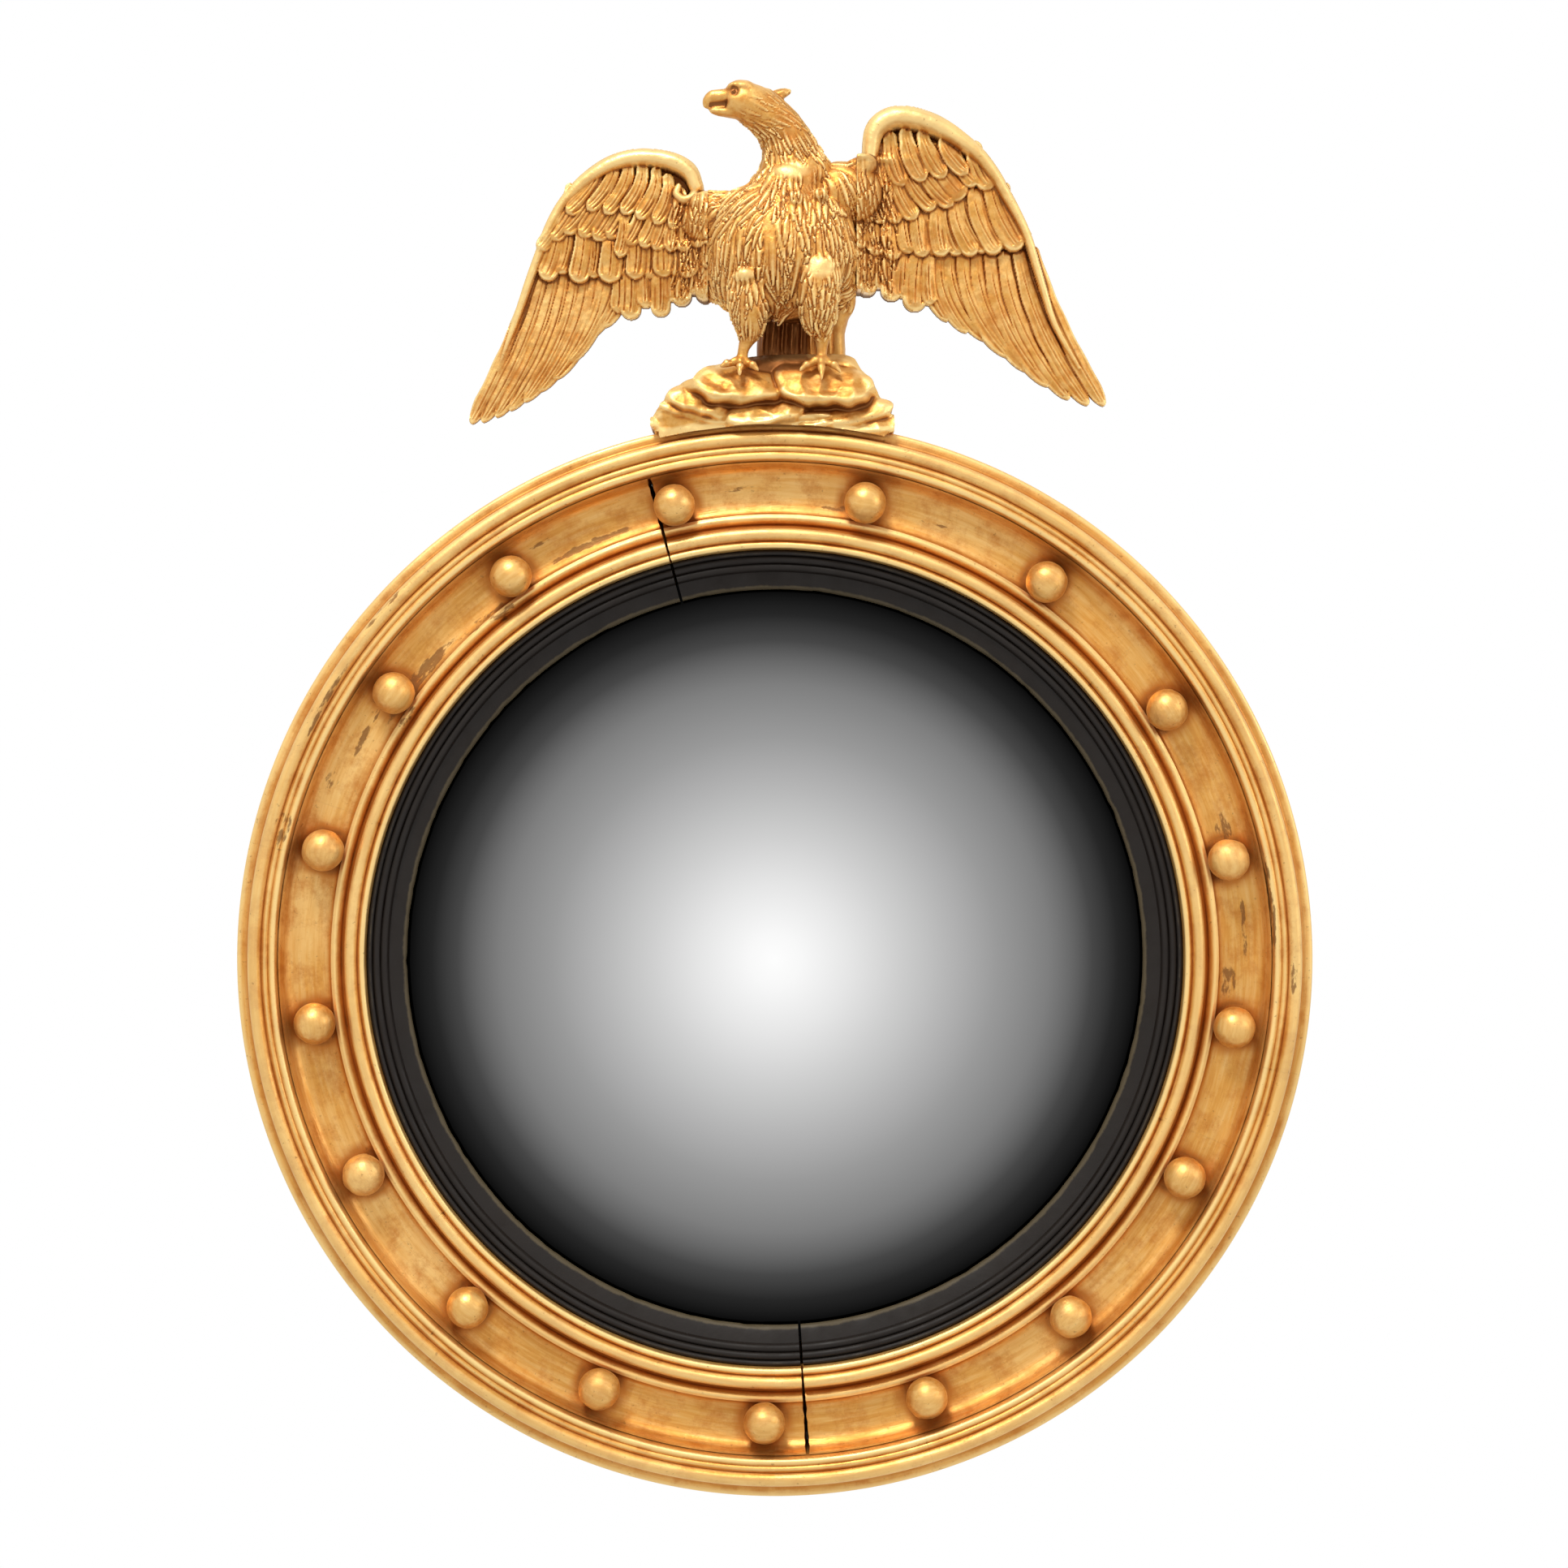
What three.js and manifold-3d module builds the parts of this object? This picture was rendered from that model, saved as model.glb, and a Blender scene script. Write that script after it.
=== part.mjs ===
// A round convex wall mirror in a gilded frame set with turned balls.
// A carved spread eagle on rocks is its crest.
// Millimetres. X is the viewer's right, Y runs into the wall and Z is up.
// The wall is the plane y = 0 and the frame's centre is the origin, so a height d off the wall is at y = -d.
import * as THREE from "three";
import { mergeVertices } from "three/addons/utils/BufferGeometryUtils.js";
import Module from "manifold-3d";

const wasm = await Module();
wasm.setup();

const GAP = 0.3; // glue, paint or air between pieces that touch
const RING_SEGMENTS = 40;

// The frame ring: its outer radius and the widths of its parts from the outside in
const RIM_RADIUS = 310;
const RIM_WIDTH = 24; // the reeded outer moulding
const FELLOE_WIDTH = 44; // from the moulding's seat to the recess in the felloes' back
const LEDGE_WIDTH = 6.3; // what overhangs that recess in front
const SLIP_WIDTH = 22.2; // from the ledge's edge inwards
const SEAT_RADIUS = RIM_RADIUS - RIM_WIDTH;
const REBATE_RADIUS = SEAT_RADIUS - FELLOE_WIDTH;
const SIGHT_RADIUS = REBATE_RADIUS - LEDGE_WIDTH;
const SLIP_INNER = SIGHT_RADIUS - SLIP_WIDTH;
const LEDGE_HEIGHT = 33.7; // what the slip bears against
const CAVETTO_HEIGHT = 36; // floor of the hollow that the balls sit in
const CRACKED_JOINTS = [-14.7, 176.2]; // azimuths of the two felloe joints that have opened
const CRACK_WIDTH = 1.2;
const FELLOES_PER_SIDE = 3;
const RIM_LENGTHS = 6;
const RIM_FIRST_JOINT = 42.5;

// The balls, by eye round the hollow and unevenly spaced, in degrees clockwise from the top
const BALL_AZIMUTHS = [
  -12.5, 11.2, 35.8, 57.6, 77.7, 98.5, 118.1, 140.4, 160.9, 181.3, 202.2, 221.4, 242.3, 262, 283.5, 304.9,
  325.4,
];
const BALL_RADIUS = 12;
const BALL_CIRCLE = SEAT_RADIUS - 19;
const PEG_RADIUS = 2.5;
const PEG_DEPTH = 9; // below the floor of the hollow

// The convex plate and what holds it
const PLATE_LAP = 10; // how far the slip covers its edge
const PLATE_RADIUS = SLIP_INNER + PLATE_LAP;
const PLATE_CURVE = 824; // radius of its sphere
const PLATE_THICKNESS = 3.2;
const PLATE_RIM_HEIGHT = 24.7;
const BOARD_THICKNESS = 8;
const PLANK_JOINTS = [-REBATE_RADIUS / 3, REBATE_RADIUS / 3];
const BLOCK_AZIMUTHS = [45, 135, 225, 315];
const BLOCK_HALF_ANGLE = 4;
const BLOCK_LAP = 7; // how far a block reaches under the plate

// The crest, whose heights are measured up from the top of the rim
const CREST_FOOT = RIM_RADIUS;
const BACK_PLANE = 4.9; // height off the wall of the crest's flat back
const LEFT_JOINT = -38.5; // where each wing is butted against the shoulder
const RIGHT_JOINT = 47;
const JOINT_TOP = 160; // the head reaches over the left joint above this
const BRACKET_X = 8;
const BRACKET_BOTTOM = -60;
const BRACKET_TOP = 62;
const BRACKET_HALF_WIDTH = 8;
const BRACKET_THICKNESS = 2.5;
const BRACKET_SCREWS = [-48, -32, 12, 50];
const DOWEL_RADIUS = 3;
const DOWEL_HEIGHT = 22; // off the wall
const LEFT_DOWEL = [LEFT_JOINT, 108];
const RIGHT_DOWEL = [RIGHT_JOINT, 120];

// The hangers, at one distance inside the moulding's seat
const HANGER_X = 120;
const HANGER_INSET = 23.91;
const HANGER_Z = Math.sqrt((SEAT_RADIUS - HANGER_INSET) ** 2 - HANGER_X ** 2);
const RING_WIRE = 1.4;
const RING_HALF_LENGTH = 8;
const RING_REACH = 13.1;
const STRAP_THICKNESS = 1.2;
const STRAP_LENGTH = 24;
const STRAP_HALF_WIDTH = 5;
const POCKET_DEPTH = 7.1;

const FAR = 2 * RIM_RADIUS; // beyond every piece, for cuts that go right through
const point = (x, y, z) => new THREE.Vector3(x, y, z);
const radians = THREE.MathUtils.degToRad;

// A closed geometry as a solid whose faces point outwards.
function solid(geometry) {
  const bare = geometry.index ? geometry.toNonIndexed() : geometry.clone();
  bare.deleteAttribute("normal");
  bare.deleteAttribute("uv");
  const merged = mergeVertices(bare, 1e-4);
  const corners = new Uint32Array(merged.index.array);
  const make = (triVerts) =>
    new wasm.Manifold(
      new wasm.Mesh({ numProp: 3, vertProperties: merged.attributes.position.array, triVerts }),
    );
  const made = make(corners);
  return made.volume() > 0 ? made : make(corners.reverse());
}

function geometryOf(body) {
  const mesh = body.getMesh();
  const geometry = new THREE.BufferGeometry();
  geometry.setAttribute("position", new THREE.BufferAttribute(mesh.vertProperties, 3));
  geometry.setIndex(new THREE.BufferAttribute(mesh.triVerts, 1));
  geometry.computeVertexNormals();
  return geometry;
}

const joined = (bodies) => bodies.reduce((whole, body) => whole.add(body));

function box(x0, x1, y0, y1, z0, z1) {
  const geometry = new THREE.BoxGeometry(x1 - x0, y1 - y0, z1 - z0);
  return solid(geometry.translate((x0 + x1) / 2, (y0 + y1) / 2, (z0 + z1) / 2));
}

// A section of [radius, height off the wall] turned round the frame's axis.
function ring(section) {
  const points = section.map(([r, d]) => new THREE.Vector2(r, -d));
  if (points[0].x > 0) points.push(points[0].clone());
  return solid(new THREE.LatheGeometry(points, RING_SEGMENTS));
}

// A disc between two heights off the wall, with the same corners as the rings.
function disc(radius, low, high, sides = RING_SEGMENTS) {
  const geometry = new THREE.CylinderGeometry(radius, radius, high - low, sides);
  return solid(geometry.translate(0, -(low + high) / 2, 0));
}

// A flat outline in X and Z between two heights off the wall.
function slab(outline, low, high) {
  const geometry = new THREE.ExtrudeGeometry(outline, { depth: high - low, bevelEnabled: false });
  return solid(geometry.rotateX(Math.PI / 2).translate(0, -low, 0));
}

// What lies between two azimuths, each side drawn in by half of the joint's width at the sight edge.
function sector(from, to, fromWidth, toWidth) {
  const degrees = (width) => THREE.MathUtils.radToDeg(width / 2 / SIGHT_RADIUS);
  const start = from + degrees(fromWidth);
  const end = to - degrees(toWidth);
  const steps = Math.ceil((end - start) / 20);
  const outline = new THREE.Shape().moveTo(0, 0);
  for (let i = 0; i <= steps; i++) {
    const angle = radians(start + ((end - start) * i) / steps);
    outline.lineTo(FAR * Math.sin(angle), FAR * Math.cos(angle));
  }
  return slab(outline, -FAR, FAR);
}

// Points on part of a circle in the section plane, angles in degrees from the outward direction.
function bead(r, d, radius, from, to, count) {
  return Array.from({ length: count }, (_, i) => {
    const angle = radians(from + ((to - from) * i) / (count - 1));
    return [r + radius * Math.cos(angle), d + radius * Math.sin(angle)];
  });
}

// A tapering form along a line of stations: x, y, z, half width across the line, half depth off it.
function loft(stations, around, along, { depthways = point(0, 1, 0), phase = 0 } = {}) {
  const line = new THREE.CatmullRomCurve3(stations.map(([x, y, z]) => point(x, y, z)), false, "catmullrom");
  const sizes = new THREE.CatmullRomCurve3(stations.map((s) => point(s[3], s[4], 0)), false, "catmullrom");
  const geometry = new THREE.SphereGeometry(1, around, along);
  const place = geometry.attributes.position;
  for (let row = 0; row <= along; row++) {
    const t = row / along;
    const centre = line.getPoint(t);
    const size = sizes.getPoint(t);
    const ahead = line.getTangent(t);
    const side = point().crossVectors(ahead, depthways).normalize();
    const off = point().crossVectors(side, ahead).normalize();
    const open = row > 0 && row < along ? 1 : 0;
    for (let column = 0; column <= around; column++) {
      const turn = phase + ((column % around) / around) * Math.PI * 2;
      const at = centre.clone();
      at.addScaledVector(side, open * size.x * Math.cos(turn));
      at.addScaledVector(off, open * size.y * Math.sin(turn));
      place.setXYZ(row * (around + 1) + column, at.x, at.y, at.z);
    }
  }
  return solid(geometry);
}

// A rounded mass, tilted in the plane of the wall.
function lump(x, y, z, [rx, ry, rz], { tilt = 0, around = 9, along = 5 } = {}) {
  const geometry = new THREE.SphereGeometry(1, around, along);
  geometry.rotateX(Math.PI / 2).scale(rx, ry, rz).rotateY(-radians(tilt));
  return solid(geometry.translate(x, y, z));
}

// ---- Frame ring ----

const onRim = (part) => SEAT_RADIUS + part * RIM_WIDTH;
const onFelloe = (part) => REBATE_RADIUS + part * FELLOE_WIDTH;
const onLedge = (part) => REBATE_RADIUS - part * LEDGE_WIDTH;

// Three reeds and a quirk between the seat and the rounded outer edge.
const rimSection = [
  [SEAT_RADIUS, 0],
  [onRim(0.67), 0],
  [onRim(0.71), 9],
  [onRim(0.9), 38],
  ...bead(onRim(0.904), 42, RIM_WIDTH * 0.096, 0, 90, 2),
  [onRim(0.704), 44.4],
  ...bead(onRim(0.538), 50.5, RIM_WIDTH * 0.16, 5, 175, 4),
  [onRim(0.35), 50.8],
  [onRim(0.28), 53.1],
  [onRim(0.208), 51],
  [onRim(0.133), 52.9],
  [SEAT_RADIUS, 45.6],
];

// The hollow for the balls, then a fillet, a bead and the lip over the slip.
const felloeSection = [
  [REBATE_RADIUS, 0],
  [SEAT_RADIUS - GAP, 0],
  [SEAT_RADIUS - GAP, CAVETTO_HEIGHT + 10.4],
  [onFelloe(0.945), CAVETTO_HEIGHT + 5.4],
  [onFelloe(0.864), CAVETTO_HEIGHT + 2],
  [onFelloe(0.75), CAVETTO_HEIGHT],
  [onFelloe(0.477), CAVETTO_HEIGHT],
  [onFelloe(0.341), CAVETTO_HEIGHT + 2.4],
  [onFelloe(0.291), LEDGE_HEIGHT + 9.1],
  [onFelloe(0.236), LEDGE_HEIGHT + 9.1],
  [onFelloe(0.182), LEDGE_HEIGHT + 5.7],
  ...bead(onFelloe(0.0545), LEDGE_HEIGHT + 10.5, FELLOE_WIDTH * 0.075, 20, 160, 3),
  [onLedge(0.32), LEDGE_HEIGHT + 9.9],
  [onLedge(0.7), LEDGE_HEIGHT + 12.2],
  [SIGHT_RADIUS, LEDGE_HEIGHT + 10.3],
  [SIGHT_RADIUS, LEDGE_HEIGHT],
  [REBATE_RADIUS, LEDGE_HEIGHT],
];

function rimLengths() {
  const whole = ring(rimSection).subtract(bracketPocket());
  return Array.from({ length: RIM_LENGTHS }, (_, i) => {
    const from = RIM_FIRST_JOINT + (i * 360) / RIM_LENGTHS;
    return whole.intersect(sector(from, from + 360 / RIM_LENGTHS, GAP, GAP));
  });
}

function felloes() {
  let whole = ring(felloeSection).subtract(bracketPocket());
  for (const azimuth of BALL_AZIMUTHS) {
    const hole = disc(PEG_RADIUS + 2 * GAP, CAVETTO_HEIGHT - PEG_DEPTH - GAP, CAVETTO_HEIGHT + 3, 6);
    const angle = radians(azimuth);
    whole = whole.subtract(hole.translate([BALL_CIRCLE * Math.sin(angle), 0, BALL_CIRCLE * Math.cos(angle)]));
  }
  for (const hole of bracketScrewHoles(CREST_FOOT)) whole = whole.subtract(hole);
  for (const side of [-1, 1]) {
    const inner = HANGER_X - RING_REACH - RING_WIRE - 1.6;
    const outer = HANGER_X + STRAP_LENGTH + 1.5;
    const ends = [side * inner, side * outer].sort((a, b) => a - b);
    const half = RING_HALF_LENGTH + RING_WIRE + 1;
    whole = whole.subtract(box(...ends, -POCKET_DEPTH, FAR, HANGER_Z - half, HANGER_Z + half));
    for (const x of strapScrewPlaces(side)) whole = whole.subtract(screwHole(x, HANGER_Z, STRAP_SCREW));
  }
  const [first, second] = CRACKED_JOINTS;
  const pieces = [];
  for (const [from, to] of [[first, second], [second, first + 360]]) {
    for (let i = 0; i < FELLOES_PER_SIDE; i++) {
      const step = (to - from) / FELLOES_PER_SIDE;
      const widths = [i === 0 ? CRACK_WIDTH : GAP, i === FELLOES_PER_SIDE - 1 ? CRACK_WIDTH : GAP];
      pieces.push(whole.intersect(sector(from + i * step, from + (i + 1) * step, ...widths)));
    }
  }
  return pieces;
}

// A ball turned in one with the peg that is glued into the hollow.
function ball() {
  const centre = CAVETTO_HEIGHT + GAP + BALL_RADIUS;
  const round = [0, 36, 70, 104, 140].map((degrees) => {
    const angle = radians(degrees);
    return [BALL_RADIUS * Math.sin(angle), centre + BALL_RADIUS * Math.cos(angle)];
  });
  const foot = CAVETTO_HEIGHT - PEG_DEPTH;
  const profile = [...round, [PEG_RADIUS, centre - BALL_RADIUS], [PEG_RADIUS, foot], [0, foot]];
  return solid(new THREE.LatheGeometry(profile.map(([r, d]) => new THREE.Vector2(r, -d)), 8));
}

// ---- Slip, plate, blocks and backboard ----

const plateRise = (r) => Math.sqrt(PLATE_CURVE ** 2 - r ** 2);
const plateFront = (r) => PLATE_RIM_HEIGHT + plateRise(r) - plateRise(PLATE_RADIUS);

const onSlip = (part) => SLIP_INNER + part * (SLIP_WIDTH - GAP);

// Two reeds and a flat that comes down to the plate.
const slipSection = [
  [SLIP_INNER, plateFront(SLIP_INNER) + GAP],
  [PLATE_RADIUS + 0.8, PLATE_RIM_HEIGHT + 0.2],
  [REBATE_RADIUS - 0.5, PLATE_RIM_HEIGHT + 0.2],
  [REBATE_RADIUS - 0.5, LEDGE_HEIGHT - GAP],
  [SIGHT_RADIUS - GAP, LEDGE_HEIGHT - GAP],
  [SIGHT_RADIUS - GAP, LEDGE_HEIGHT + 7.5],
  [onSlip(0.91), LEDGE_HEIGHT + 7.5],
  [onSlip(0.863), LEDGE_HEIGHT + 4.7],
  [onSlip(0.772), LEDGE_HEIGHT + 6.5],
  [onSlip(0.671), LEDGE_HEIGHT + 3.1],
  [onSlip(0.58), LEDGE_HEIGHT + 4.7],
  [onSlip(0.479), LEDGE_HEIGHT + 1.3],
  [onSlip(0.16), plateFront(SLIP_INNER) + 4.4],
  [SLIP_INNER, plateFront(SLIP_INNER) + 2],
];

function slipHalves() {
  const whole = ring(slipSection);
  const [first, second] = CRACKED_JOINTS;
  return [
    whole.intersect(sector(first, second, CRACK_WIDTH, CRACK_WIDTH)),
    whole.intersect(sector(second, first + 360, CRACK_WIDTH, CRACK_WIDTH)),
  ];
}

function plate() {
  const rings = [0, PLATE_RADIUS / 3, (2 * PLATE_RADIUS) / 3, PLATE_RADIUS];
  const front = rings.map((r) => [r, plateFront(r)]);
  const back = rings.map((r) => [r, plateFront(r) - PLATE_THICKNESS]);
  return ring([...front, ...back.reverse()]);
}

function packingBlock(azimuth) {
  const under = plateFront(PLATE_RADIUS) - PLATE_THICKNESS - GAP;
  const section = [
    [PLATE_RADIUS - BLOCK_LAP, BOARD_THICKNESS + GAP],
    [REBATE_RADIUS - GAP, BOARD_THICKNESS + GAP],
    [REBATE_RADIUS - GAP, under],
    [PLATE_RADIUS - BLOCK_LAP, under],
  ];
  return ring(section).intersect(sector(azimuth - BLOCK_HALF_ANGLE, azimuth + BLOCK_HALF_ANGLE, 0, 0));
}

function planks() {
  const board = disc(REBATE_RADIUS - 1, 0, BOARD_THICKNESS);
  const edges = [-REBATE_RADIUS, ...PLANK_JOINTS, REBATE_RADIUS];
  return edges.slice(1).map((top, i) =>
    board.intersect(
      box(-REBATE_RADIUS, REBATE_RADIUS, -BOARD_THICKNESS, 0, edges[i] + GAP, top - GAP),
    ),
  );
}

// ---- Screws, bracket and hangers ----

const BRACKET_SCREW = {
  shank: 2,
  head: 3.6,
  headHeight: 1.3,
  length: 9,
  seat: BACK_PLANE - GAP - BRACKET_THICKNESS,
};
const STRAP_SCREW = {
  shank: 1.6,
  head: 2.8,
  headHeight: 1.4,
  length: 15,
  seat: POCKET_DEPTH - GAP - STRAP_THICKNESS,
};

// A round-headed screw driven in from the back. Its seat is how high off the wall its head bears.
function screw(x, z, { shank, head, headHeight, length, seat }) {
  const under = seat - GAP;
  const profile = [
    [0, under - headHeight],
    [head * 0.7, under - headHeight],
    [head, under],
    [shank, under],
    [shank, under + length - 2],
    [0, under + length],
  ];
  const points = profile.map(([r, d]) => new THREE.Vector2(r, -d));
  return solid(new THREE.LatheGeometry(points, 6)).translate([x, 0, z]);
}

function screwHole(x, z, { shank, length, seat }) {
  return disc(shank + GAP, -1, seat + length + 1, 6).translate([x, 0, z]);
}

const bracketScrewHoles = (foot) => BRACKET_SCREWS.map((z) => screwHole(BRACKET_X, foot + z, BRACKET_SCREW));

// The recess in the back of the ring that the bracket lies in, open at the rim's top.
function bracketPocket() {
  const wide = BRACKET_HALF_WIDTH + 0.5;
  const bottom = CREST_FOOT + BRACKET_BOTTOM - 0.5;
  return box(BRACKET_X - wide, BRACKET_X + wide, -BACK_PLANE, FAR, bottom, FAR);
}

function bracket() {
  const back = BACK_PLANE - GAP;
  let iron = box(
    BRACKET_X - BRACKET_HALF_WIDTH,
    BRACKET_X + BRACKET_HALF_WIDTH,
    -back,
    -back + BRACKET_THICKNESS,
    CREST_FOOT + BRACKET_BOTTOM,
    CREST_FOOT + BRACKET_TOP,
  );
  for (const hole of bracketScrewHoles(CREST_FOOT)) iron = iron.subtract(hole);
  return iron;
}

const EYE_RADIUS = RING_WIRE + GAP + STRAP_THICKNESS;
const EYE_DEPTH = POCKET_DEPTH - GAP - EYE_RADIUS;
const strapScrewPlaces = (side) => [8.5, 18.5].map((reach) => side * (HANGER_X + reach));

// A strip of brass rolled into an eye round the bar of its ring.
function strap(side) {
  const outer = EYE_RADIUS;
  const inner = RING_WIRE + GAP;
  const half = STRAP_HALF_WIDTH;
  const section = [[inner, -half], [outer, -half], [outer, half], [inner, half], [inner, -half]];
  const wall = section.map(([r, h]) => new THREE.Vector2(r, h));
  const eye = solid(new THREE.LatheGeometry(wall, 10).rotateX(Math.PI / 2));
  const ends = [HANGER_X * side, (HANGER_X + STRAP_LENGTH) * side].sort((a, b) => a - b);
  const floor = -POCKET_DEPTH + GAP;
  let strip = box(...ends, floor, floor + STRAP_THICKNESS, HANGER_Z - half, HANGER_Z + half);
  for (const x of strapScrewPlaces(side)) strip = strip.subtract(screwHole(x, HANGER_Z, STRAP_SCREW));
  return strip.add(eye.translate([side * HANGER_X, -EYE_DEPTH, HANGER_Z]));
}

// A wire bow brazed to its bar, lying flat in the pocket with the bow towards the middle of the frame.
function dRing(side) {
  const h = RING_HALF_LENGTH;
  const bow = new THREE.CatmullRomCurve3(
    [
      point(0, 0, h),
      point(-RING_REACH * 0.5, 0, h),
      point(-RING_REACH * 0.88, 0, h * 0.66),
      point(-RING_REACH, 0, 0),
      point(-RING_REACH * 0.88, 0, -h * 0.66),
      point(-RING_REACH * 0.5, 0, -h),
      point(0, 0, -h),
    ],
    false,
    "catmullrom",
  );
  const wire = new THREE.Shape().absarc(0, 0, RING_WIRE, 0, Math.PI * 2);
  const bent = new THREE.ExtrudeGeometry(wire, { steps: 12, curveSegments: 3, extrudePath: bow });
  const bar = new THREE.CylinderGeometry(RING_WIRE, RING_WIRE, 2 * h + 2, 6).rotateX(Math.PI / 2);
  const whole = solid(bent).add(solid(bar));
  return (side > 0 ? whole : whole.mirror([1, 0, 0])).translate([side * HANGER_X, -EYE_DEPTH, HANGER_Z]);
}

// ---- Crest ----

// Everything in front of the crest's flat back.
const frontOfBack = () => box(-FAR, FAR, -FAR, -BACK_PLANE, -FAR, FAR);

// The room that the crest leaves for the frame's rim. Its front lobes hang a little over the outer bead.
function rimRoom() {
  const room = disc(RIM_RADIUS + GAP, -5, 48).add(disc(RIM_RADIUS - 3.6, 47, 90));
  return room.translate([0, 0, -CREST_FOOT]);
}

// Overlapping soft stones, as carved, on a core that follows the mound's outline.
// Grown, it is the room that the feet and the tail are let into.
function rocks(grown = 0) {
  const foot = -14;
  const outline = new THREE.Shape(
    [
      [-71, foot],
      [-71.5, 3],
      [-66, 15],
      [-58, 27.5],
      [-40, 37.5],
      [-10, 39.5],
      [22, 39.5],
      [44.5, 42.5],
      [55, 32.5],
      [62, 20.5],
      [68.5, 9],
      [69, foot],
    ].map(([x, z]) => new THREE.Vector2(x + Math.sign(x) * grown, z + grown)),
  );
  const depth = 50 + grown;
  const core = new THREE.ExtrudeGeometry(outline, { depth: depth - BACK_PLANE, bevelEnabled: false });
  core.rotateX(Math.PI / 2).translate(0, -BACK_PLANE, 0);
  const place = core.attributes.position;
  for (let i = 0; i < place.count; i++) {
    if (place.getY(i) > -depth + 1) continue;
    place.setX(i, place.getX(i) * 0.86);
    place.setZ(i, foot + (place.getZ(i) - foot) * 0.74);
  }
  const stones = [
    { at: [-20.5, -49, 21.5], size: [24, 18, 9.6], tilt: 3 },
    { at: [28, -49, 18.5], size: [27, 19, 10.5], tilt: -5 },
    { at: [-46, -41, 11], size: [21, 18, 9.5], tilt: 14 },
    { at: [-9, -51, 5], size: [25, 14, 10], tilt: 5 },
    { at: [40, -48, 5.5], size: [28, 16, 12], tilt: -4 },
    { at: [-47, -44, -0.5], size: [25, 18, 8.5], tilt: 3 },
  ].map(({ at, size, tilt }) => lump(...at, size.map((radius) => radius + grown), { tilt }));
  return joined([solid(core), ...stones]);
}

function rockBase() {
  const base = rocks().subtract(rimRoom()).intersect(frontOfBack());
  return bracketScrewHoles(0).reduce((whole, hole) => whole.subtract(hole), base);
}

// A leaf with a raised quill, from its root to its rounded tip. Its bow bends it sideways, towards +X.
function feather(root, tip, { width, depths, thickness, bow = 0 }, lap) {
  const length = root.distanceTo(tip);
  const at = (t, w) => [
    THREE.MathUtils.lerp(root.x, tip.x, t) + bow * 4 * t * (1 - t),
    -THREE.MathUtils.lerp(depths[0], depths[1], t) + lap,
    THREE.MathUtils.lerp(root.y, tip.y, t),
    (width / 2) * w,
    thickness / 2,
  ];
  const belly = 1 - (0.6 * width) / length;
  const shoulder = 1 - (0.2 * width) / length;
  const stations = [at(0, 0.7), at(belly / 2, 1), at(belly, 1.1), at(shoulder, 0.85), at(1, 0.3)];
  return loft(stations, 3, 4, { phase: -Math.PI / 2 });
}

// Feathers side by side, their roots along one line and their tips along another.
function featherRow({ roots, tips, count, ...form }) {
  const line = (points) => new THREE.SplineCurve(points.map(([x, z]) => new THREE.Vector2(x, z)));
  const from = line(roots);
  const to = line(tips);
  return Array.from({ length: count }, (_, i) => {
    const t = i / (count - 1);
    const lap = (i % 2) * 0.8; // neighbours lie over and under each other
    return feather(from.getPoint(t), to.getPoint(t), form, lap);
  });
}

// One spread wing: a web under all, four rows of feathers and the rolled leading edge.
function wing({ roll, rows, keep, place }) {
  const rollSize = 6.5;
  const leading = roll.map(([x, z], i) => {
    const t = i / (roll.length - 1);
    const size = rollSize * (1 - 0.45 * t);
    return [x, -THREE.MathUtils.lerp(30, 22, t), z, size, size * 1.5];
  });
  const [long, short] = rows;
  const inset = (tips, roots) => tips.map(([x, z], i) => {
    const [rx, rz] = roots[Math.min(i, roots.length - 1)];
    return [x * 0.86 + rx * 0.14, z * 0.86 + rz * 0.14];
  });
  const flat = (edge, high) => slab(new THREE.Shape(edge.map(([x, z]) => new THREE.Vector2(x, z))), 12, high);
  const web = flat([...roll, ...inset(long.tips, long.roots), ...inset(short.tips, short.roots)], 19);
  const core = flat([...roll.slice(0, -2), ...long.roots.slice(1), ...short.roots], 25);
  const whole = joined([web, core, loft(leading, 6, 9), ...rows.flatMap(featherRow)]);
  return whole.intersect(keep).intersect(frontOfBack()).subtract(dowel(...place, GAP));
}

function dowel(x, z, grown = 0) {
  const length = 26 + 4 * grown;
  const geometry = new THREE.CylinderGeometry(DOWEL_RADIUS + grown, DOWEL_RADIUS + grown, length, 8);
  return solid(geometry.rotateZ(Math.PI / 2).translate(x, -DOWEL_HEIGHT, z));
}

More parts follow.
